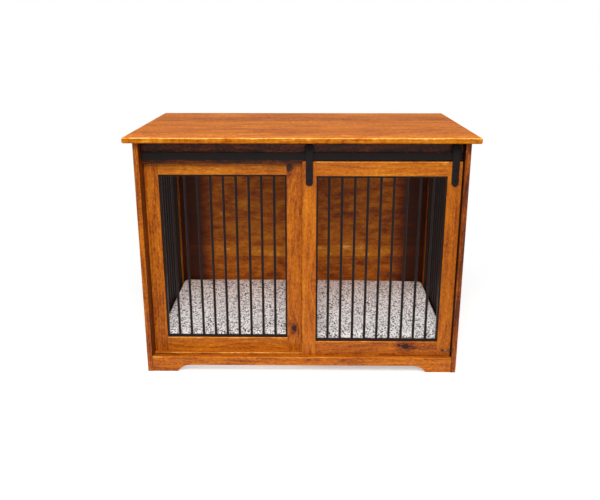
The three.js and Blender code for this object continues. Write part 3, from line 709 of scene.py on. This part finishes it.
# painted shade: the faces of the side frames inside the cabin are darker, as if in its shade
changes = {
    "left_front_stile": darker_on(inside=-0.27), "left_rear_stile": darker_on(outside=-0.15),
    "right_front_stile": darker_on(inside=-0.5, front=-0.16),
    "left_bottom_rail": darker_on(inside=-0.5), "right_bottom_rail": darker_on(inside=-0.5),
}
tones = {   # the stile at the low side, the stile at the high side, the top rail, the bottom rail
    # painted light: the left rear stile's high tone brightens its inner faces, seen lit through the
    # grille; a lower shade on its outer face takes that back there
    "left": (0.92, 1.24, 0.97, 1.0), "right": (0.88, 1.08, 0.98, 1.0),
    "fixed": (0.98, 1.0, 1.1, 1.06), "door": (1.05, 0.99, 1.09, 0.92),
}
knots = {
    "fixed_right_stile": (((-0.0445, -0.2895, 0.769), 0.0105, 0.9),
                          ((-0.0286, -0.2895, 0.151), 0.009, 0.85)),
    "door_bottom_rail": (((0.391, -0.3305, 0.0968), 0.011, 0.8),
                         ((0.368, -0.3305, 0.101), 0.007, 0.45)),
}
print("boards with a face of their own:", sorted(changes))

# %% Stiles and rails
RABBET, LIP = 0.00625, 0.0065
SEAT = 1e-4     # the line between a rail's shoulder and the stile
made_boards = []


def frame_boards(label, ends, across, through, face, body):
    """The four boards of one frame. ends names the stile at the low and at the high side."""
    a = AXES[across]
    boards = (f"{label}_{ends[0]}_stile", f"{label}_{ends[1]}_stile",
              f"{label}_top_rail", f"{label}_bottom_rail")
    low_stile, high_stile, top, bottom = spans = [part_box(name) for name in boards]
    opening = (low_stile[1][a], high_stile[0][a])
    light = (bottom[1][2], top[0][2])
    for name, span, side, tone in zip(boards, spans, (1, -1, -1, 1), tones[label]):
        low, high = list(span[0]), list(span[1])
        if name.endswith("stile"):
            along, cut, eased, end_radius = "z", across, (1.2e-3, 5e-4), 0.001
            start, stop = light[0] - RABBET, light[1] + RABBET
        else:
            along, cut, eased, end_radius = across, "z", (2.4e-3, 1e-3), 3e-4
            start, stop = low[a], high[a] = opening[0] + SEAT, opening[1] - SEAT
        lip = {"across": cut, "side": side, "through": through, "face": face,
               "width": RABBET, "depth": LIP, "start": start, "stop": stop}
        shape = board((low, high), along, (ARRIS, *eased, ARRIS), end_radius, lip)
        wood = stained(name + "_wood", along, seed=len(made_boards) + 1.3, tone=tone,
                       knots=knots.get(name, ()), change=changes.get(name))
        made_boards.append(piece(name + "_board", [shape], wood, body, (name,)))
    return opening, light


lights = {
    "fixed": frame_boards("fixed", ("left", "right"), "x", "y", -1, "cabinet"),
    "door": frame_boards("door", ("left", "right"), "x", "y", -1, "door"),
    "left": frame_boards("left", ("front", "rear"), "y", "x", -1, "cabinet"),
    "right": frame_boards("right", ("front", "rear"), "y", "x", 1, "cabinet"),
}
print("frame boards:", len(made_boards))
print("openings:", {label: np.round(light, 3).tolist() for label, light in lights.items()})

# %% [markdown]
# The grilles
#
# A grille is a square of steel bar with round rods welded between its upper and lower bars. The
# bar is a section carried round a rectangle, mitred at the corners. All rods are one array: a
# circle, at each height, for each rod. Near a bar the radius swells in a small bell curve, which
# is the bead of weld.

# %% Bars and rods
BAR, ROD, SPACING, SINK = 0.01275, 0.0095, 0.046, 0.002
WELD, WELD_REACH = 0.0017, 0.0026
REACH = RABBET - 3e-4   # how far the bars lie behind the lip


def bar_frame(low, high, depth):
    """A square bar round a rectangle. Each point of the bar's section gives one mitred loop."""
    thick = depth[1] - depth[0]
    shape = section([(0, 0), (BAR, 0), (BAR, thick), (0, thick)], [7e-4] * 4, steps=2)
    inset, back = shape[:, 0], shape[:, 1] + depth[0]
    left, right, lower, upper = low[0] + inset, high[0] - inset, low[1] + inset, high[1] - inset
    x = np.stack([left, right, right, left], 1)
    z = np.stack([lower, lower, upper, upper], 1)
    return np.stack([x, np.repeat(back[:, None], 4, 1), z], -1)


def rods_between(opening, light, middle):
    """Round rods, evenly spaced, as an array (rods, rings, points, 3). Radius: the rod's own,
    plus a slightly lumpy bell curve of 1.7 mm that fades over 2.6 mm from the bar's face."""
    spaces = math.ceil((opening[1] - opening[0]) / SPACING - 1e-6)
    places = np.linspace(opening[0], opening[1], spaces + 1)[1:-1]
    inner = BAR - REACH
    low, high = light[0] + inner, light[1] - inner
    near = np.array([-SINK, 0.0, 0.0008, 0.0018, 0.003, 0.0045, 0.0075])
    heights = np.concatenate([low + near, high - near[::-1]])
    gap = np.clip(np.minimum(heights - low, high - heights), 0, None)
    around = np.linspace(0, 2 * math.pi, 20, endpoint=False)
    lumps = 0.16 * np.sin(3 * around + 1.7 * places[:, None, None] * 100)
    lumps = 1 + lumps + 0.1 * np.sin(5 * around)
    radius = ROD / 2 + WELD * np.exp(-(gap / WELD_REACH) ** 2)[None, :, None] * lumps
    x = places[:, None, None] + radius * np.cos(around)
    y = middle + radius * np.sin(around)
    z = np.broadcast_to(heights[None, :, None], radius.shape)
    return np.stack([x, y, z], -1)


def grille(label, order, body):
    """One grille, first as if it faced the front, then with its axes put in the given order."""
    opening, light = lights[label]
    low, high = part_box(f"{label}_grille")
    depth = (low[order[1]], high[order[1]])
    corner, opposite = ((opening[end] + way * REACH, light[end] + way * REACH)
                        for end, way in ((0, -1), (1, 1)))
    bars = bar_frame(corner, opposite, depth)[..., order]
    rods = rods_between(opening, light, sum(depth) / 2)[..., order]
    parts = [skin(bars, "loop")] + [skin(rod) for rod in rods]
    return piece(f"{label}_welded_grille", parts, rod_steel, body, (f"{label}_grille",))


FACING, SIDEWAYS = [0, 1, 2], [1, 0, 2]
for label, order, body in (
    ("fixed", FACING, "cabinet"), ("door", FACING, "door"),
    ("left", SIDEWAYS, "cabinet"), ("right", SIDEWAYS, "cabinet"),
):
    made = grille(label, order, body)
    print(made.name, len(made.data.polygons), "faces")

# %% [markdown]
# Plates with eased edges
#
# The table top, the base board, the track and the straps are all one outline pushed through a
# thickness, with the edge rounded over. The skin's rings are that outline again and again: drawn
# in at the face, full width in the middle, drawn in at the other face.

# %% An outline pushed through a thickness
QUARTER = np.array([[0, 1], [-1, 0]])
EDGE_STEPS = 4


def left_of(way):
    """Each direction turned a quarter to the left."""
    return np.stack([-way[:, 1], way[:, 0]], 1)


def circle(angle):
    """Points of a circle of radius 1."""
    return np.stack([np.cos(angle), np.sin(angle)], 1)


def plate(outline, near, far, radius, turn="y"):
    """outline is (points, 2), anticlockwise. Each point moves inwards along its own normal,
    which is square to the line between its two neighbours."""
    one, two = unit(outline - np.roll(outline, 1, 0)), unit(np.roll(outline, -1, 0) - outline)
    normal = unit(left_of(one + two))
    normal /= np.clip((normal * left_of(one)).sum(1), 0.5, None)[:, None]
    inset, depth = rolled_edge(radius, EDGE_STEPS)
    inset = np.concatenate([inset, inset[::-1]])
    level = np.concatenate([near + depth, (far - depth)[::-1]])
    flat = outline[None] + inset[:, None, None] * normal[None]
    third = np.broadcast_to(level[:, None], flat.shape[:2])
    wear_and_highlight_part = edge_wear_and_highlight([radius], EDGE_STEPS)
    wear_and_highlight_part = np.concatenate([wear_and_highlight_part, wear_and_highlight_part[::-1]])[:, None]
    axes = {"y": (flat[..., 0], third, flat[..., 1]), "z": (flat[..., 0], flat[..., 1], third)}
    return skin(np.stack(axes[turn], -1), wear_and_highlight=wear_and_highlight_part)


def round_rectangle(low, high, radius, steps=8):
    """A rectangle with quarter circles at its corners, anticlockwise."""
    arc = circle(np.linspace(0, math.pi / 2, steps + 1)) * radius
    left, right, lower, upper = low[0] + radius, high[0] - radius, low[1] + radius, high[1] - radius
    centres = [(right, upper), (left, upper), (left, lower), (right, lower)]
    turned_arcs = [arc @ np.linalg.matrix_power(QUARTER, count) for count in range(4)]
    return np.concatenate([np.array(c) + turned for c, turned in zip(centres, turned_arcs)])


print("a plate's outline has", len(round_rectangle((0, 0), (1, 1), 0.1)), "points")

# %% [markdown]
# The table top
#
# The top is glued up from boards that run the length of the table, so the grain runs along X and
# changes a little from board to board. Its edge is rounded over all round and takes the light.

# %% Table top
TOP_JOINTS = (-0.262, -0.137, -0.021, 0.098, 0.226)
low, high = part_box("table_top")
top_outline = round_rectangle((low[0], low[1]), (high[0], high[1]), 0.007)


def top_change(tree, place, shade):
    """The top is figured more boldly: broad clouds and coarse dashes, both longer along X. The
    shade rises by 0.02 along the middle and by 0.115 towards the two long edges."""
    for scale, share in (((7.0, 22.0, 1.0), 0.30), ((45.0, 95.0, 1.0), 0.75)):
        shade = mix_in(tree, shade, noise(tree, place, scale, 4.0, 0.7), share)
    off = sums(tree, "ABSOLUTE", sums(tree, "ADD", parts_of(tree, place)[1], 0.03))
    return sums(tree, "ADD", shade, spread(tree, off, 0.08, 0.33, 0.02, 0.115))


top_wood = stained(
    "table_top_wood", seed=4.2, tone=0.965, gloss=0.55, shine=0.04, change=top_change,
    planks=(AXES["y"], TOP_JOINTS),
    knots=(((0.466, -0.184, 0.886), 0.007, 0.35), ((0.502, -0.183, 0.886), 0.005, 0.3)),
)
slab = plate(top_outline, low[2], high[2], 0.004, "z")
made = piece("table_top_slab", [slab], top_wood, "cabinet", ("table_top",))
print(made.name, "is", [round(v, 3) for v in made.dimensions])

# %% [markdown]
# The base board
#
# The base board is cut away between two feet, and each cut starts with an arc. Its lower edge is
# a function of the place along the board: the floor under a foot, a circle's height over the
# arc, and the full rise in between.

# %% Base board
low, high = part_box("base_board")
FOOT, RUN, RISE = 0.094, 0.050, 0.026
arc_radius = (RUN ** 2 + RISE ** 2) / (2 * RISE)
foot_end = high[0] + SEAT - FOOT
straight = foot_end - RUN


def lower_edge(x):
    """The height of the lower edge: the circle through the foot and the level cut."""
    run = np.clip(np.abs(x) - straight, 0, RUN)
    rise = RISE - arc_radius + np.sqrt(arc_radius ** 2 - run ** 2)
    return np.where(np.abs(x) >= foot_end, 0.0, rise)


arc_places = np.linspace(foot_end, straight, 14)
right = np.concatenate([[high[0], foot_end + 1e-6], arc_places, [straight - 0.01, 0.2]])
along = np.concatenate([-right, right[::-1]])
under = np.stack([along, lower_edge(along)], 1)
base_outline = np.concatenate([under, [[high[0], high[2]], [low[0], high[2]]]])
base_wood = stained("base_board_wood", seed=7.9, tone=0.97)
plank = plate(base_outline, low[1], high[1], ARRIS)
made = piece("base_board_plank", [plank], base_wood, "cabinet", ("base_board",))
print(made.name, "cut rises", RISE, "with an arc of", round(arc_radius, 4))

# %% [markdown]
# The other boards
#
# The back is glued up from level boards that took the stain differently, which shows as bands
# behind the grilles. The header carries the track, and the rail below makes the channel that
# guides the door. The deck and the cleats are hardly seen, so they keep their solids and only
# get wood.

# %% Back, header and bottom rail
BACK_JOINTS = (0.115, 0.230, 0.282, 0.398, 0.462, 0.575, 0.69, 0.78)
BACK_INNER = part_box("back_panel")[0][1] + 0.004     # in front of this is the inner face
PALE_BOARD = (0.256, 0.026)                         # its middle and half its height
PAINTED_SHADE_ENDS = (0.40, 0.475)                           # |X| where painted shade darkens the inner face towards its ends


def back_change(tree, place, shade):
    """On the inner face the grain is half as strong, with clouds in the stain and one pale board.
    Beyond |X| = 0.4 it fades to a shade of 0.05, so both ends are dark and even: painted shade
    at the ends of the cabin."""
    x, y, z = parts_of(tree, place)
    inner = mix_in(tree, 0.25, noise(tree, place, (13.0, 13.0, 30.0), 5.0, 0.75), 1.5)
    inner = sums(tree, "MULTIPLY_ADD", sums(tree, "COMPARE", z, *PALE_BOARD), 0.17, inner)
    inner = sums(tree, "MULTIPLY_ADD", shade, 0.55, inner)
    # painted shade: the inner face turns dark and even towards both ends of the cabin
    ends = spread(tree, sums(tree, "ABSOLUTE", x), *PAINTED_SHADE_ENDS, 0.0, 0.88)
    inner = sums(tree, "MULTIPLY_ADD", sums(tree, "SUBTRACT", 0.05, inner), ends, inner)
    inner = sums(tree, "SUBTRACT", inner, shade)
    return sums(tree, "MULTIPLY_ADD", inner, sums(tree, "LESS_THAN", y, BACK_INNER), shade)


back_wood = stained("back_panel_wood", seed=12.4, tone=0.96, gloss=0.4,
                    planks=(AXES["z"], BACK_JOINTS), change=back_change)
# painted shade: the header's low tone darkens it, as if in the shadow of the table top and the
# track
shaded_header_wood = stained("shaded_header_wood", seed=15.1, tone=0.62)
ledge_wood = stained("bottom_front_rail_wood", seed=16.6)
for name, node, wood, slot in (
    ("back_boards", "back_panel", back_wood, "inner_wood"),
    ("header_plank", "header_board", shaded_header_wood, "inner_wood"),
    ("bottom_front_rail_plank", "bottom_front_rail", ledge_wood, "stained_wood"),
):
    piece(name, [board(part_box(node), "x")], wood, "cabinet", (node,))
print("back joints at", BACK_JOINTS)


# %% The deck and the cleats
def repaint(node, finish):
    """A CAD solid keeps its shape and gets a finish."""
    solid = frame["nodes"][node].data
    solid.materials.clear()
    solid.materials.append(finish)


repaint("floor_panel", stained("deck_wood", seed=18.2, tone=0.92))
cleats = {
    "x": (stained("cleat_wood_across", seed=19.7), ("floor_cleat_front", "floor_cleat_back")),
    "y": (stained("cleat_wood_back", "y", seed=21.3), (
        "floor_cleat_left", "floor_cleat_right", "floor_bearer",
        "top_cleat_left", "top_cleat_right",
    )),
}
for wood, nodes in cleats.values():
    for node in nodes:
        repaint(node, wood)
print("cleats along X and Y:", [len(nodes) for _, nodes in cleats.values()])

# %% [markdown]
# Turned pieces
#
# Wheels, nuts, spacers and bolt heads are profiles taken round an axis. The radius of each ring may
# also depend on the angle: a hexagon is the distance to the nearest of six flats, which is the
# half width over the cosine of the angle from that flat. Taking the smaller of the hexagon and a
# cone gives a nut its chamfer.

# %% A profile round an axle
def hexagon(half_width, angle):
    """The distance from the middle to the side of a hexagon, in the direction of angle."""
    return half_width / np.cos((angle + math.pi / 6) % (math.pi / 3) - math.pi / 6)


def turned(profile, centre, count, ends):
    """profile is a list of radius and place along Y. A radius may be a function of the angle."""
    angle = np.linspace(0, 2 * math.pi, count, endpoint=False)
    radius = np.array([r(angle) if callable(r) else np.full(count, float(r)) for r, _ in profile])
    level = np.array([y for _, y in profile])[:, None] + np.zeros(count)
    rings = np.stack([radius * np.cos(angle), level, radius * np.sin(angle)], -1)
    return skin(rings + np.array(centre), ends)


def front_of(node):
    """The middle of a solid's front face, and the solid's length along Y."""
    low, high = (np.array(corner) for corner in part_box(node))
    return ((low[0] + high[0]) / 2, low[1], (low[2] + high[2]) / 2), high[1] - low[1]


over_corners = 2 * float(hexagon(5.0, np.array([math.pi / 6]))[0])
print("a hexagon of 10 mm across flats is", round(over_corners, 2), "mm across corners")


# %% Wheels
def wheel(side):
    """A grooved wheel: flanges with rounded rims, a hollow groove, a recess and a boss. The
    profile is one half from the bore outwards and back to the groove, then its mirror image."""
    low, high = (np.array(corner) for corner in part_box(f"{side}_wheel"))
    rim, groove, half, boss, ease = 0.017, 0.013, 0.0055, 0.0067, 0.0009
    rounded = circle(np.radians(np.linspace(90, 0, 5))) * ease + np.array([rim, half]) - ease
    half_profile = [
        (0.0043, boss), (0.0072, boss), (0.0080, boss - 0.0008),
        (0.0080, half - 0.0013), (0.0084, half - 0.0015), (0.0112, half - 0.0015),
        (0.0115, half - 0.0012), (0.0115, half - 0.0003), (0.0118, half),
        *rounded.tolist(),
        (rim, 0.0040), (rim - 0.0003, 0.0036), (groove + 0.0005, 0.0030), (groove, 0.0026),
    ]
    profile = half_profile + [(r, -y) for r, y in reversed(half_profile)]
    shape = turned(profile, (low + high) / 2, 96, "loop")
    return steel_piece(f"{side}_grooved_wheel", f"{side}_wheel", shape, f"{side}_wheel")


for side in ("left", "right"):
    made = wheel(side)
    print(made.name, len(made.data.polygons), "faces")


# %% Bolts, nuts and spacers
def button_bolt(node, head, shank, body):
    """A low domed head with a hexagon socket, on a round shank."""
    centre, end = front_of(node)
    tall, deep, socket = 0.003, 0.0022, head * 0.36
    six = lambda angle: hexagon(socket, angle)
    bevelled = lambda angle: hexagon(socket, angle) + 0.0004
    lean = np.linspace(0.62, math.pi / 2, 8)
    dome = [(head * math.sin(a), tall * (1 - math.cos(a))) for a in lean]
    face = dome[0][1]
    profile = [
        (0.0, deep), (six, deep), (six, face + 0.0003), (bevelled, face), *dome,
        (shank, tall), (shank, end - 0.0006), (shank - 0.0006, end), (0.0, end),
    ]
    return steel_piece(node + "_head", node, turned(profile, centre, 48, "open"), body)


def hex_part(node, half_width, thick, body, bore=None, shank=None):
    """A hexagon head with a shank, or a nut with a bore, along Y. Its ends are turned to a
    cone."""
    centre, end = front_of(node)
    cone = lambda reach: (lambda angle: np.minimum(hexagon(half_width, angle), half_width + reach))
    outside = [(cone(0.0001), 0.0), (cone(0.0006), 0.0003), (cone(0.0012), 0.0008)]
    if bore:
        outside += [(r, thick - y) for r, y in reversed(outside)]
        profile = [(bore, 0.0004), (bore + 0.0004, 0.0), *outside,
                   (bore + 0.0004, thick), (bore, thick - 0.0004)]
    else:
        profile = [(0.0, 0.0), *outside, (cone(0.0012), thick), (shank, thick),
                   (shank, end), (0.0, end)]
    shape = turned(profile, centre, 72, "loop" if bore else "open")
    return steel_piece(node + "_six_sided", node, shape, body)


def spacer(node):
    """A tube between the header and the track."""
    centre, long = front_of(node)
    bore, outer, ease = 0.0033, 0.007, 0.0004
    tube = [(bore, 0.0), (outer - ease, 0.0), (outer, ease),
            (outer, long - ease), (outer - ease, long), (bore, long)]
    return steel_piece(node + "_tube", node, turned(tube, centre, 40, "loop"), "cabinet")


for side in ("left", "right"):
    for level in ("upper", "lower"):
        button_bolt(f"{side}_{level}_hanger_bolt", 0.0065, 0.003, "door")
    button_bolt(f"{side}_axle_bolt", 0.0075, 0.004, "door")
    hex_part(f"{side}_axle_nut", 0.0065, 0.005, "door", bore=0.0043)
for i in range(1, 5):
    hex_part(f"track_bolt_{i}", 0.00563, 0.003, "cabinet", shank=0.003)
    spacer(f"track_spacer_{i}")
made_names = [o.name for o in bpy.data.objects if o.get("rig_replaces")]
print("fasteners:", sum("bolt" in name or "nut" in name for name in made_names))

# %% [markdown]
# Track and straps
#
# The track is flat steel bar on edge, held off the header by spacers. A strap is the same bar
# with half-round ends: it lies on the door, rises in front of the wheel and carries the axle.

# %% Track bar and hanger straps
low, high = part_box("track_bar")
bar_outline = round_rectangle((low[0], low[2]), (high[0], high[2]), 0.001, 3)
steel_piece("track_flat_bar", "track_bar", plate(bar_outline, low[1], high[1], 0.0006), "cabinet")


def strap(side):
    """A stadium: two half circles joined by straight sides, pushed through 5 mm."""
    low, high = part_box(f"{side}_hanger_strap")
    middle, half = (low[0] + high[0]) / 2, (high[0] - low[0]) / 2
    round_end = half * circle(np.linspace(0, math.pi, 25))
    over = np.array([middle, high[2] - half]) + round_end
    under = np.array([middle, low[2] + half]) - round_end
    shape = plate(np.concatenate([over, under]), low[1], high[1], 0.0008)
    return steel_piece(f"{side}_strap", f"{side}_hanger_strap", shape, "door")


print([strap(side).name for side in ("left", "right")])

# %% [markdown]
# Hook and eyes
#
# The catch is bent from one wire, so it is a circle carried along a path. Each path here lies in
# one plane, so the circle's first direction can be that plane's normal, and the second is square
# to it and to the path. An eye is a ring on a threaded shank that goes into the wood.

# %% A wire along a path
WIRE = 0.00125


def wire(path, radius, normal, ends="caps"):
    """A circle at each point of the path, in the plane square to the path's direction there."""
    path, normal = np.asarray(path, float), np.asarray(normal, float)
    if ends == "loop":
        way = np.roll(path, -1, 0) - np.roll(path, 1, 0)
    else:
        way = np.gradient(path, axis=0)
    side = np.cross(unit(way), normal)
    angle = np.linspace(0, 2 * math.pi, 16, endpoint=False)[None, :, None]
    reach = np.broadcast_to(np.asarray(radius, float).reshape(-1, 1, 1), (len(path), 1, 1))
    rings = path[:, None] + reach * (np.cos(angle) * normal + np.sin(angle) * side[:, None])
    return skin(rings, ends)


def ring_path(centre, radius, first, second):
    """A circle round centre in the plane of two directions."""
    angle = np.linspace(0, 2 * math.pi, 48, endpoint=False)[:, None]
    return centre + radius * (np.cos(angle) * first + np.sin(angle) * second)


def screw_eye(node, along, body):
    """A ring of wire, and a shank that leaves it along X or Y with a turned collar at the wood.
    Gives back the ring's centre."""
    low, high = (np.array(corner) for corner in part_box(node))
    ring = (high[2] - low[2]) / 2 - WIRE
    centre = (low + high) / 2
    centre[along] = low[along] + ring + WIRE
    way, plane = np.eye(3)[along], np.eye(3)[1 - along]
    loop = wire(ring_path(centre, ring, way, np.cross(way, plane)), WIRE, plane, "loop")
    start = centre + way * (ring + 0.0006)
    steps = np.array([0.0, 0.0009, 0.0016, 0.0022, 0.003, 0.0135])
    swell = np.array([1.0, 1.15, 1.25, 1.1, 1.0, 0.9]) * WIRE
    shank = wire(start + steps[:, None] * way, swell, plane)
    piece(node + "_bent", [loop, shank], dark_wire, body, (node,))
    return centre


door_centre = screw_eye("latch_door_eye", AXES["y"], "door")
side_centre = screw_eye("latch_side_eye", AXES["x"], "cabinet")
print("door eye at", np.round(door_centre, 4), "side eye at", np.round(side_centre, 4))

# %% The hook
PIVOT = np.array([0.529, -0.34425, 0.086])
REST = math.radians(-12)    # the hook rests this far in front of the side eye
LOOP, BEND, TIP = 0.0045, 0.003, 0.0053
ahead = np.array([math.cos(REST), math.sin(REST), 0.0])
inward = np.array([-math.sin(REST), math.cos(REST), 0.0])
upright = np.array([0.0, 0.0, 1.0])
reach = side_centre[0] - PIVOT[0]


def hook_point(out, sideways):
    """A point in the hook's own plane, from its pivot."""
    return PIVOT + ahead * out + inward * sideways


shank = [hook_point(out, 0.0) for out in np.linspace(0.0051, reach - BEND, 6)[:-1]]
elbow = [hook_point(reach - BEND + BEND * math.sin(a), BEND * (1 - math.cos(a)))
         for a in np.linspace(0, math.pi / 2, 9)]
point = [hook_point(reach, sideways) for sideways in (0.0042, TIP - 0.0006, TIP)]
hook_path = np.array(shank + elbow + point)
hook_radius = np.full(len(hook_path), WIRE)
hook_radius[-1] = WIRE * 0.6
hook_parts = [
    wire(ring_path(PIVOT, LOOP, ahead, inward), WIRE, upright, "loop"),
    wire(hook_path, hook_radius, upright),
]
made = piece("latch_hook_bent", hook_parts, dark_wire, "hook", ("latch_hook",))
print(made.name, "reaches", round(float(reach), 4))

# %% [markdown]
# The pad
#
# The pad is a foam slab in a tweed cover. It starts as a numpy surface: a rounded rectangle whose
# sides draw in between the corners, rolled over at the edge and crowned in the middle. Then it is
# a cloth that is blown up a little, which rounds the rolls and pulls the cover tight, and what it
# settles to is kept. The weave is the material's work.

# %% The pad's first shape
pad_low, pad_high = (np.array(corner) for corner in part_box("floor_pad"))
pad_middle = (pad_low + pad_high) / 2
HALF = (pad_high - pad_low)[:2] / 2
EDGE_TALL, CROWN, CORNER, DRAW, ROLL = 0.054, 0.007, 0.020, 0.0015, 0.009
FULLER, UNEVEN, CLEAR = 0.005, 0.0008, 0.001


def pad_outline(half, corner_steps=12, side_steps=40):
    """A rounded rectangle whose sides bow in by the square of a cosine, and its outward normals.
    Each quarter is one side and one corner, turned by a quarter from the last."""
    angle = np.linspace(0, math.pi / 2, corner_steps, endpoint=False)
    outline, normals = [], []
    for quarter in range(4):
        turn = quarter * math.pi / 2
        spin = np.array([[math.cos(turn), math.sin(turn)], [-math.sin(turn), math.cos(turn)]])
        wide, long = (half[0], half[1]) if quarter % 2 == 0 else (half[1], half[0])
        run = np.linspace(-1, 1, side_steps, endpoint=False) * (long - CORNER)
        bow = DRAW * np.cos(math.pi * run / 2 / (long - CORNER)) ** 2
        curved = np.array([wide - CORNER, long - CORNER]) + CORNER * circle(angle)
        outline.append(np.concatenate([np.stack([wide - bow, run], 1), curved]) @ spin)
        facing_out = np.concatenate([np.tile([1.0, 0.0], (side_steps, 1)), circle(angle)])
        normals.append(facing_out @ spin)
    return np.concatenate(outline), np.concatenate(normals)


def pad_skin(shrink=0.0025, inwards=26):
    """Each point of the outline follows one path: in under the slab, round the lower roll, up the
    side, round the upper roll, and over the crown to the middle. Height at a place: the edge
    height, plus the crown times one minus the square of the distance along the slab, plus a
    little at the left rear, where the filling is fuller, plus a slight unevenness."""
    outline, normals = pad_outline(HALF - shrink)
    lean = np.linspace(0, math.pi / 2, 9)
    scale = np.linspace(1, 0.02, inwards)
    into, rise = ROLL * (1 - np.sin(lean)), ROLL / EDGE_TALL * (1 - np.cos(lean))
    flat_part = np.full(inwards - 1, ROLL)
    inset = np.concatenate([flat_part, into, into[::-1], flat_part])
    grow = np.concatenate([scale[::-1][:-1], np.ones(2 * len(lean)), scale[1:]])
    level = np.concatenate([np.zeros(inwards - 1), rise, 1 - rise[::-1], np.ones(inwards - 1)])
    flat = (outline[None] - inset[:, None, None] * normals[None]) * grow[:, None, None]
    u, v = flat[..., 0] / HALF[0], flat[..., 1] / HALF[1]
    tall = EDGE_TALL + CROWN * (1 - u ** 2) * (1 - 0.4 * v ** 2) - CLEAR
    tall = tall + FULLER * (1 - u) / 2 * (1 + v) / 2
    tall = tall + UNEVEN * np.sin(17 * u + 3 * v) * np.sin(9 * v + 1.0)
    z = pad_low[2] + CLEAR + level[:, None] * tall
    return skin(np.concatenate([flat + pad_middle[:2], z[..., None]], -1))


print("pad starts with", len(pad_skin()[1]), "faces")

# %% Tweed
LARGE, SMALL = (265.0, 140.0, 220.0), (420.0, 240.0, 350.0)     # cells in a metre, by axis
YARN = (
    (0.24, seen(18, 11, 10)), (0.31, seen(62, 51, 48)), (0.36, seen(236, 226, 223)),
    (0.42, seen(255, 250, 248)), (0.85, seen(255, 254, 253)),
)
REAR_PAINTED_SHADE = (0.90, 0.78, 0.73, 1.0)


def tweed(name):
    """A coarse weave of pale, grey and near-black yarns. Each yarn shows as a square-cornered
    fleck: a cell pattern squeezed along the axes, with a random grey for each cell, in two sizes
    that are mixed. Towards the rear the colour turns darker and browner: painted shade of the
    dimmer, warmer light at the back of the cabin."""
    made, tree, place = finish_of(name)
    sway = noise(tree, place, 60.0, output="Color")
    wobble = vectors(tree, "MULTIPLY_ADD", sway, (0.0016, 0.0016, 0.0016), place)

    def flecks(size):
        given = {0: vectors(tree, "MULTIPLY", wobble, size), "Scale": 1.0, "Randomness": 0.75}
        return step(tree, "TexVoronoi", given, feature="F1", distance="CHEBYCHEV").outputs

    large, small = flecks(LARGE), flecks(SMALL)
    pick = step(tree, "SeparateColor", {0: large["Color"]}).outputs[0]
    other = step(tree, "SeparateColor", {0: small["Color"]}).outputs[1]
    mixed = sums(tree, "MULTIPLY_ADD", pick, 0.70, sums(tree, "MULTIPLY", other, 0.30))
    # painted shade: the cover's colour is tinted darker and browner towards the rear
    rear = spread(tree, parts_of(tree, place)[1], -0.1, 0.36)
    looks = {"Base Color": blend(tree, "MULTIPLY", rear, ramp(tree, mixed, YARN), REAR_PAINTED_SHADE),
             "Roughness": 0.92, "Sheen Weight": 0.12, "Specular IOR Level": 0.2}
    return coat(made, looks, 0.55, 0.0012, sums(tree, "SUBTRACT", 1.0, small["Distance"]))


tweed_cloth = tweed("tweed_cloth")
print("tweed has", len(tweed_cloth.node_tree.nodes), "nodes")

# %% Blow the pad up
VOXEL, MOST = 0.006, 0.004      # metres: the even mesh, and the furthest that a point may move
PRESSURE, FRAMES = 0.3, 20
pad = piece("tweed_pad", [pad_skin()], tweed_cloth, "cabinet", ("floor_pad",), crease=180)


def places_of(mesh):
    """The mesh's points as an array."""
    flat = np.zeros(len(mesh.vertices) * 3, np.float32)
    mesh.vertices.foreach_get("co", flat)
    return flat.reshape(-1, 3)


def puff(cushion):
    """Remeshes the piece evenly, then lets cloth with a little pressure inside settle. No point
    may move further than the limit, or out of the solid's box."""
    bpy.context.view_layer.objects.active = cushion
    remesh = cushion.modifiers.new("even", "REMESH")
    remesh.mode, remesh.voxel_size = "VOXEL", VOXEL
    chosen = {"object": cushion, "active_object": cushion, "selected_objects": [cushion]}
    with bpy.context.temp_override(**chosen):
        bpy.ops.object.modifier_apply(modifier="even")
    first = places_of(cushion.data)
    cloth = cushion.modifiers.new("air", "CLOTH")
    settings = cloth.settings
    settings.use_pressure, settings.uniform_pressure_force = True, PRESSURE
    settings.effector_weights.gravity = 0.0
    settings.quality = 4
    cloth.point_cache.frame_start, cloth.point_cache.frame_end = 1, FRAMES
    for number in range(1, FRAMES + 1):
        bpy.context.scene.frame_set(number)
    view = bpy.context.evaluated_depsgraph_get()
    last = places_of(cushion.evaluated_get(view).to_mesh())
    cushion.evaluated_get(view).to_mesh_clear()
    cushion.modifiers.remove(cloth)
    bpy.context.scene.frame_set(1)
    move = last - first
    far = np.linalg.norm(move, axis=1)[:, None]
    last = first + move * np.minimum(1.0, MOST / np.maximum(far, 1e-9))
    last[:, 2] = np.maximum(last[:, 2], pad_low[2])
    last[:, :2] = np.clip(last[:, :2], pad_low[:2] + 2e-4, pad_high[:2] - 2e-4)
    cushion.data.vertices.foreach_set("co", last.ravel())
    cushion.data.update()
    return float(far.mean() * 1000)


print("the cover moved", round(puff(pad), 2), "mm on average, before the limit")
pad.data.polygons.foreach_set("use_smooth", np.ones(len(pad.data.polygons), bool))
finer = pad.modifiers.new("finer", "SUBSURF")
finer.levels = finer.render_levels = 1
print("pad has", len(pad.data.polygons), "faces before the last division")

# %% Sizes, then the end
low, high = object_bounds()
print("visual box", [round(v, 4) for v in low], [round(v, 4) for v in high])
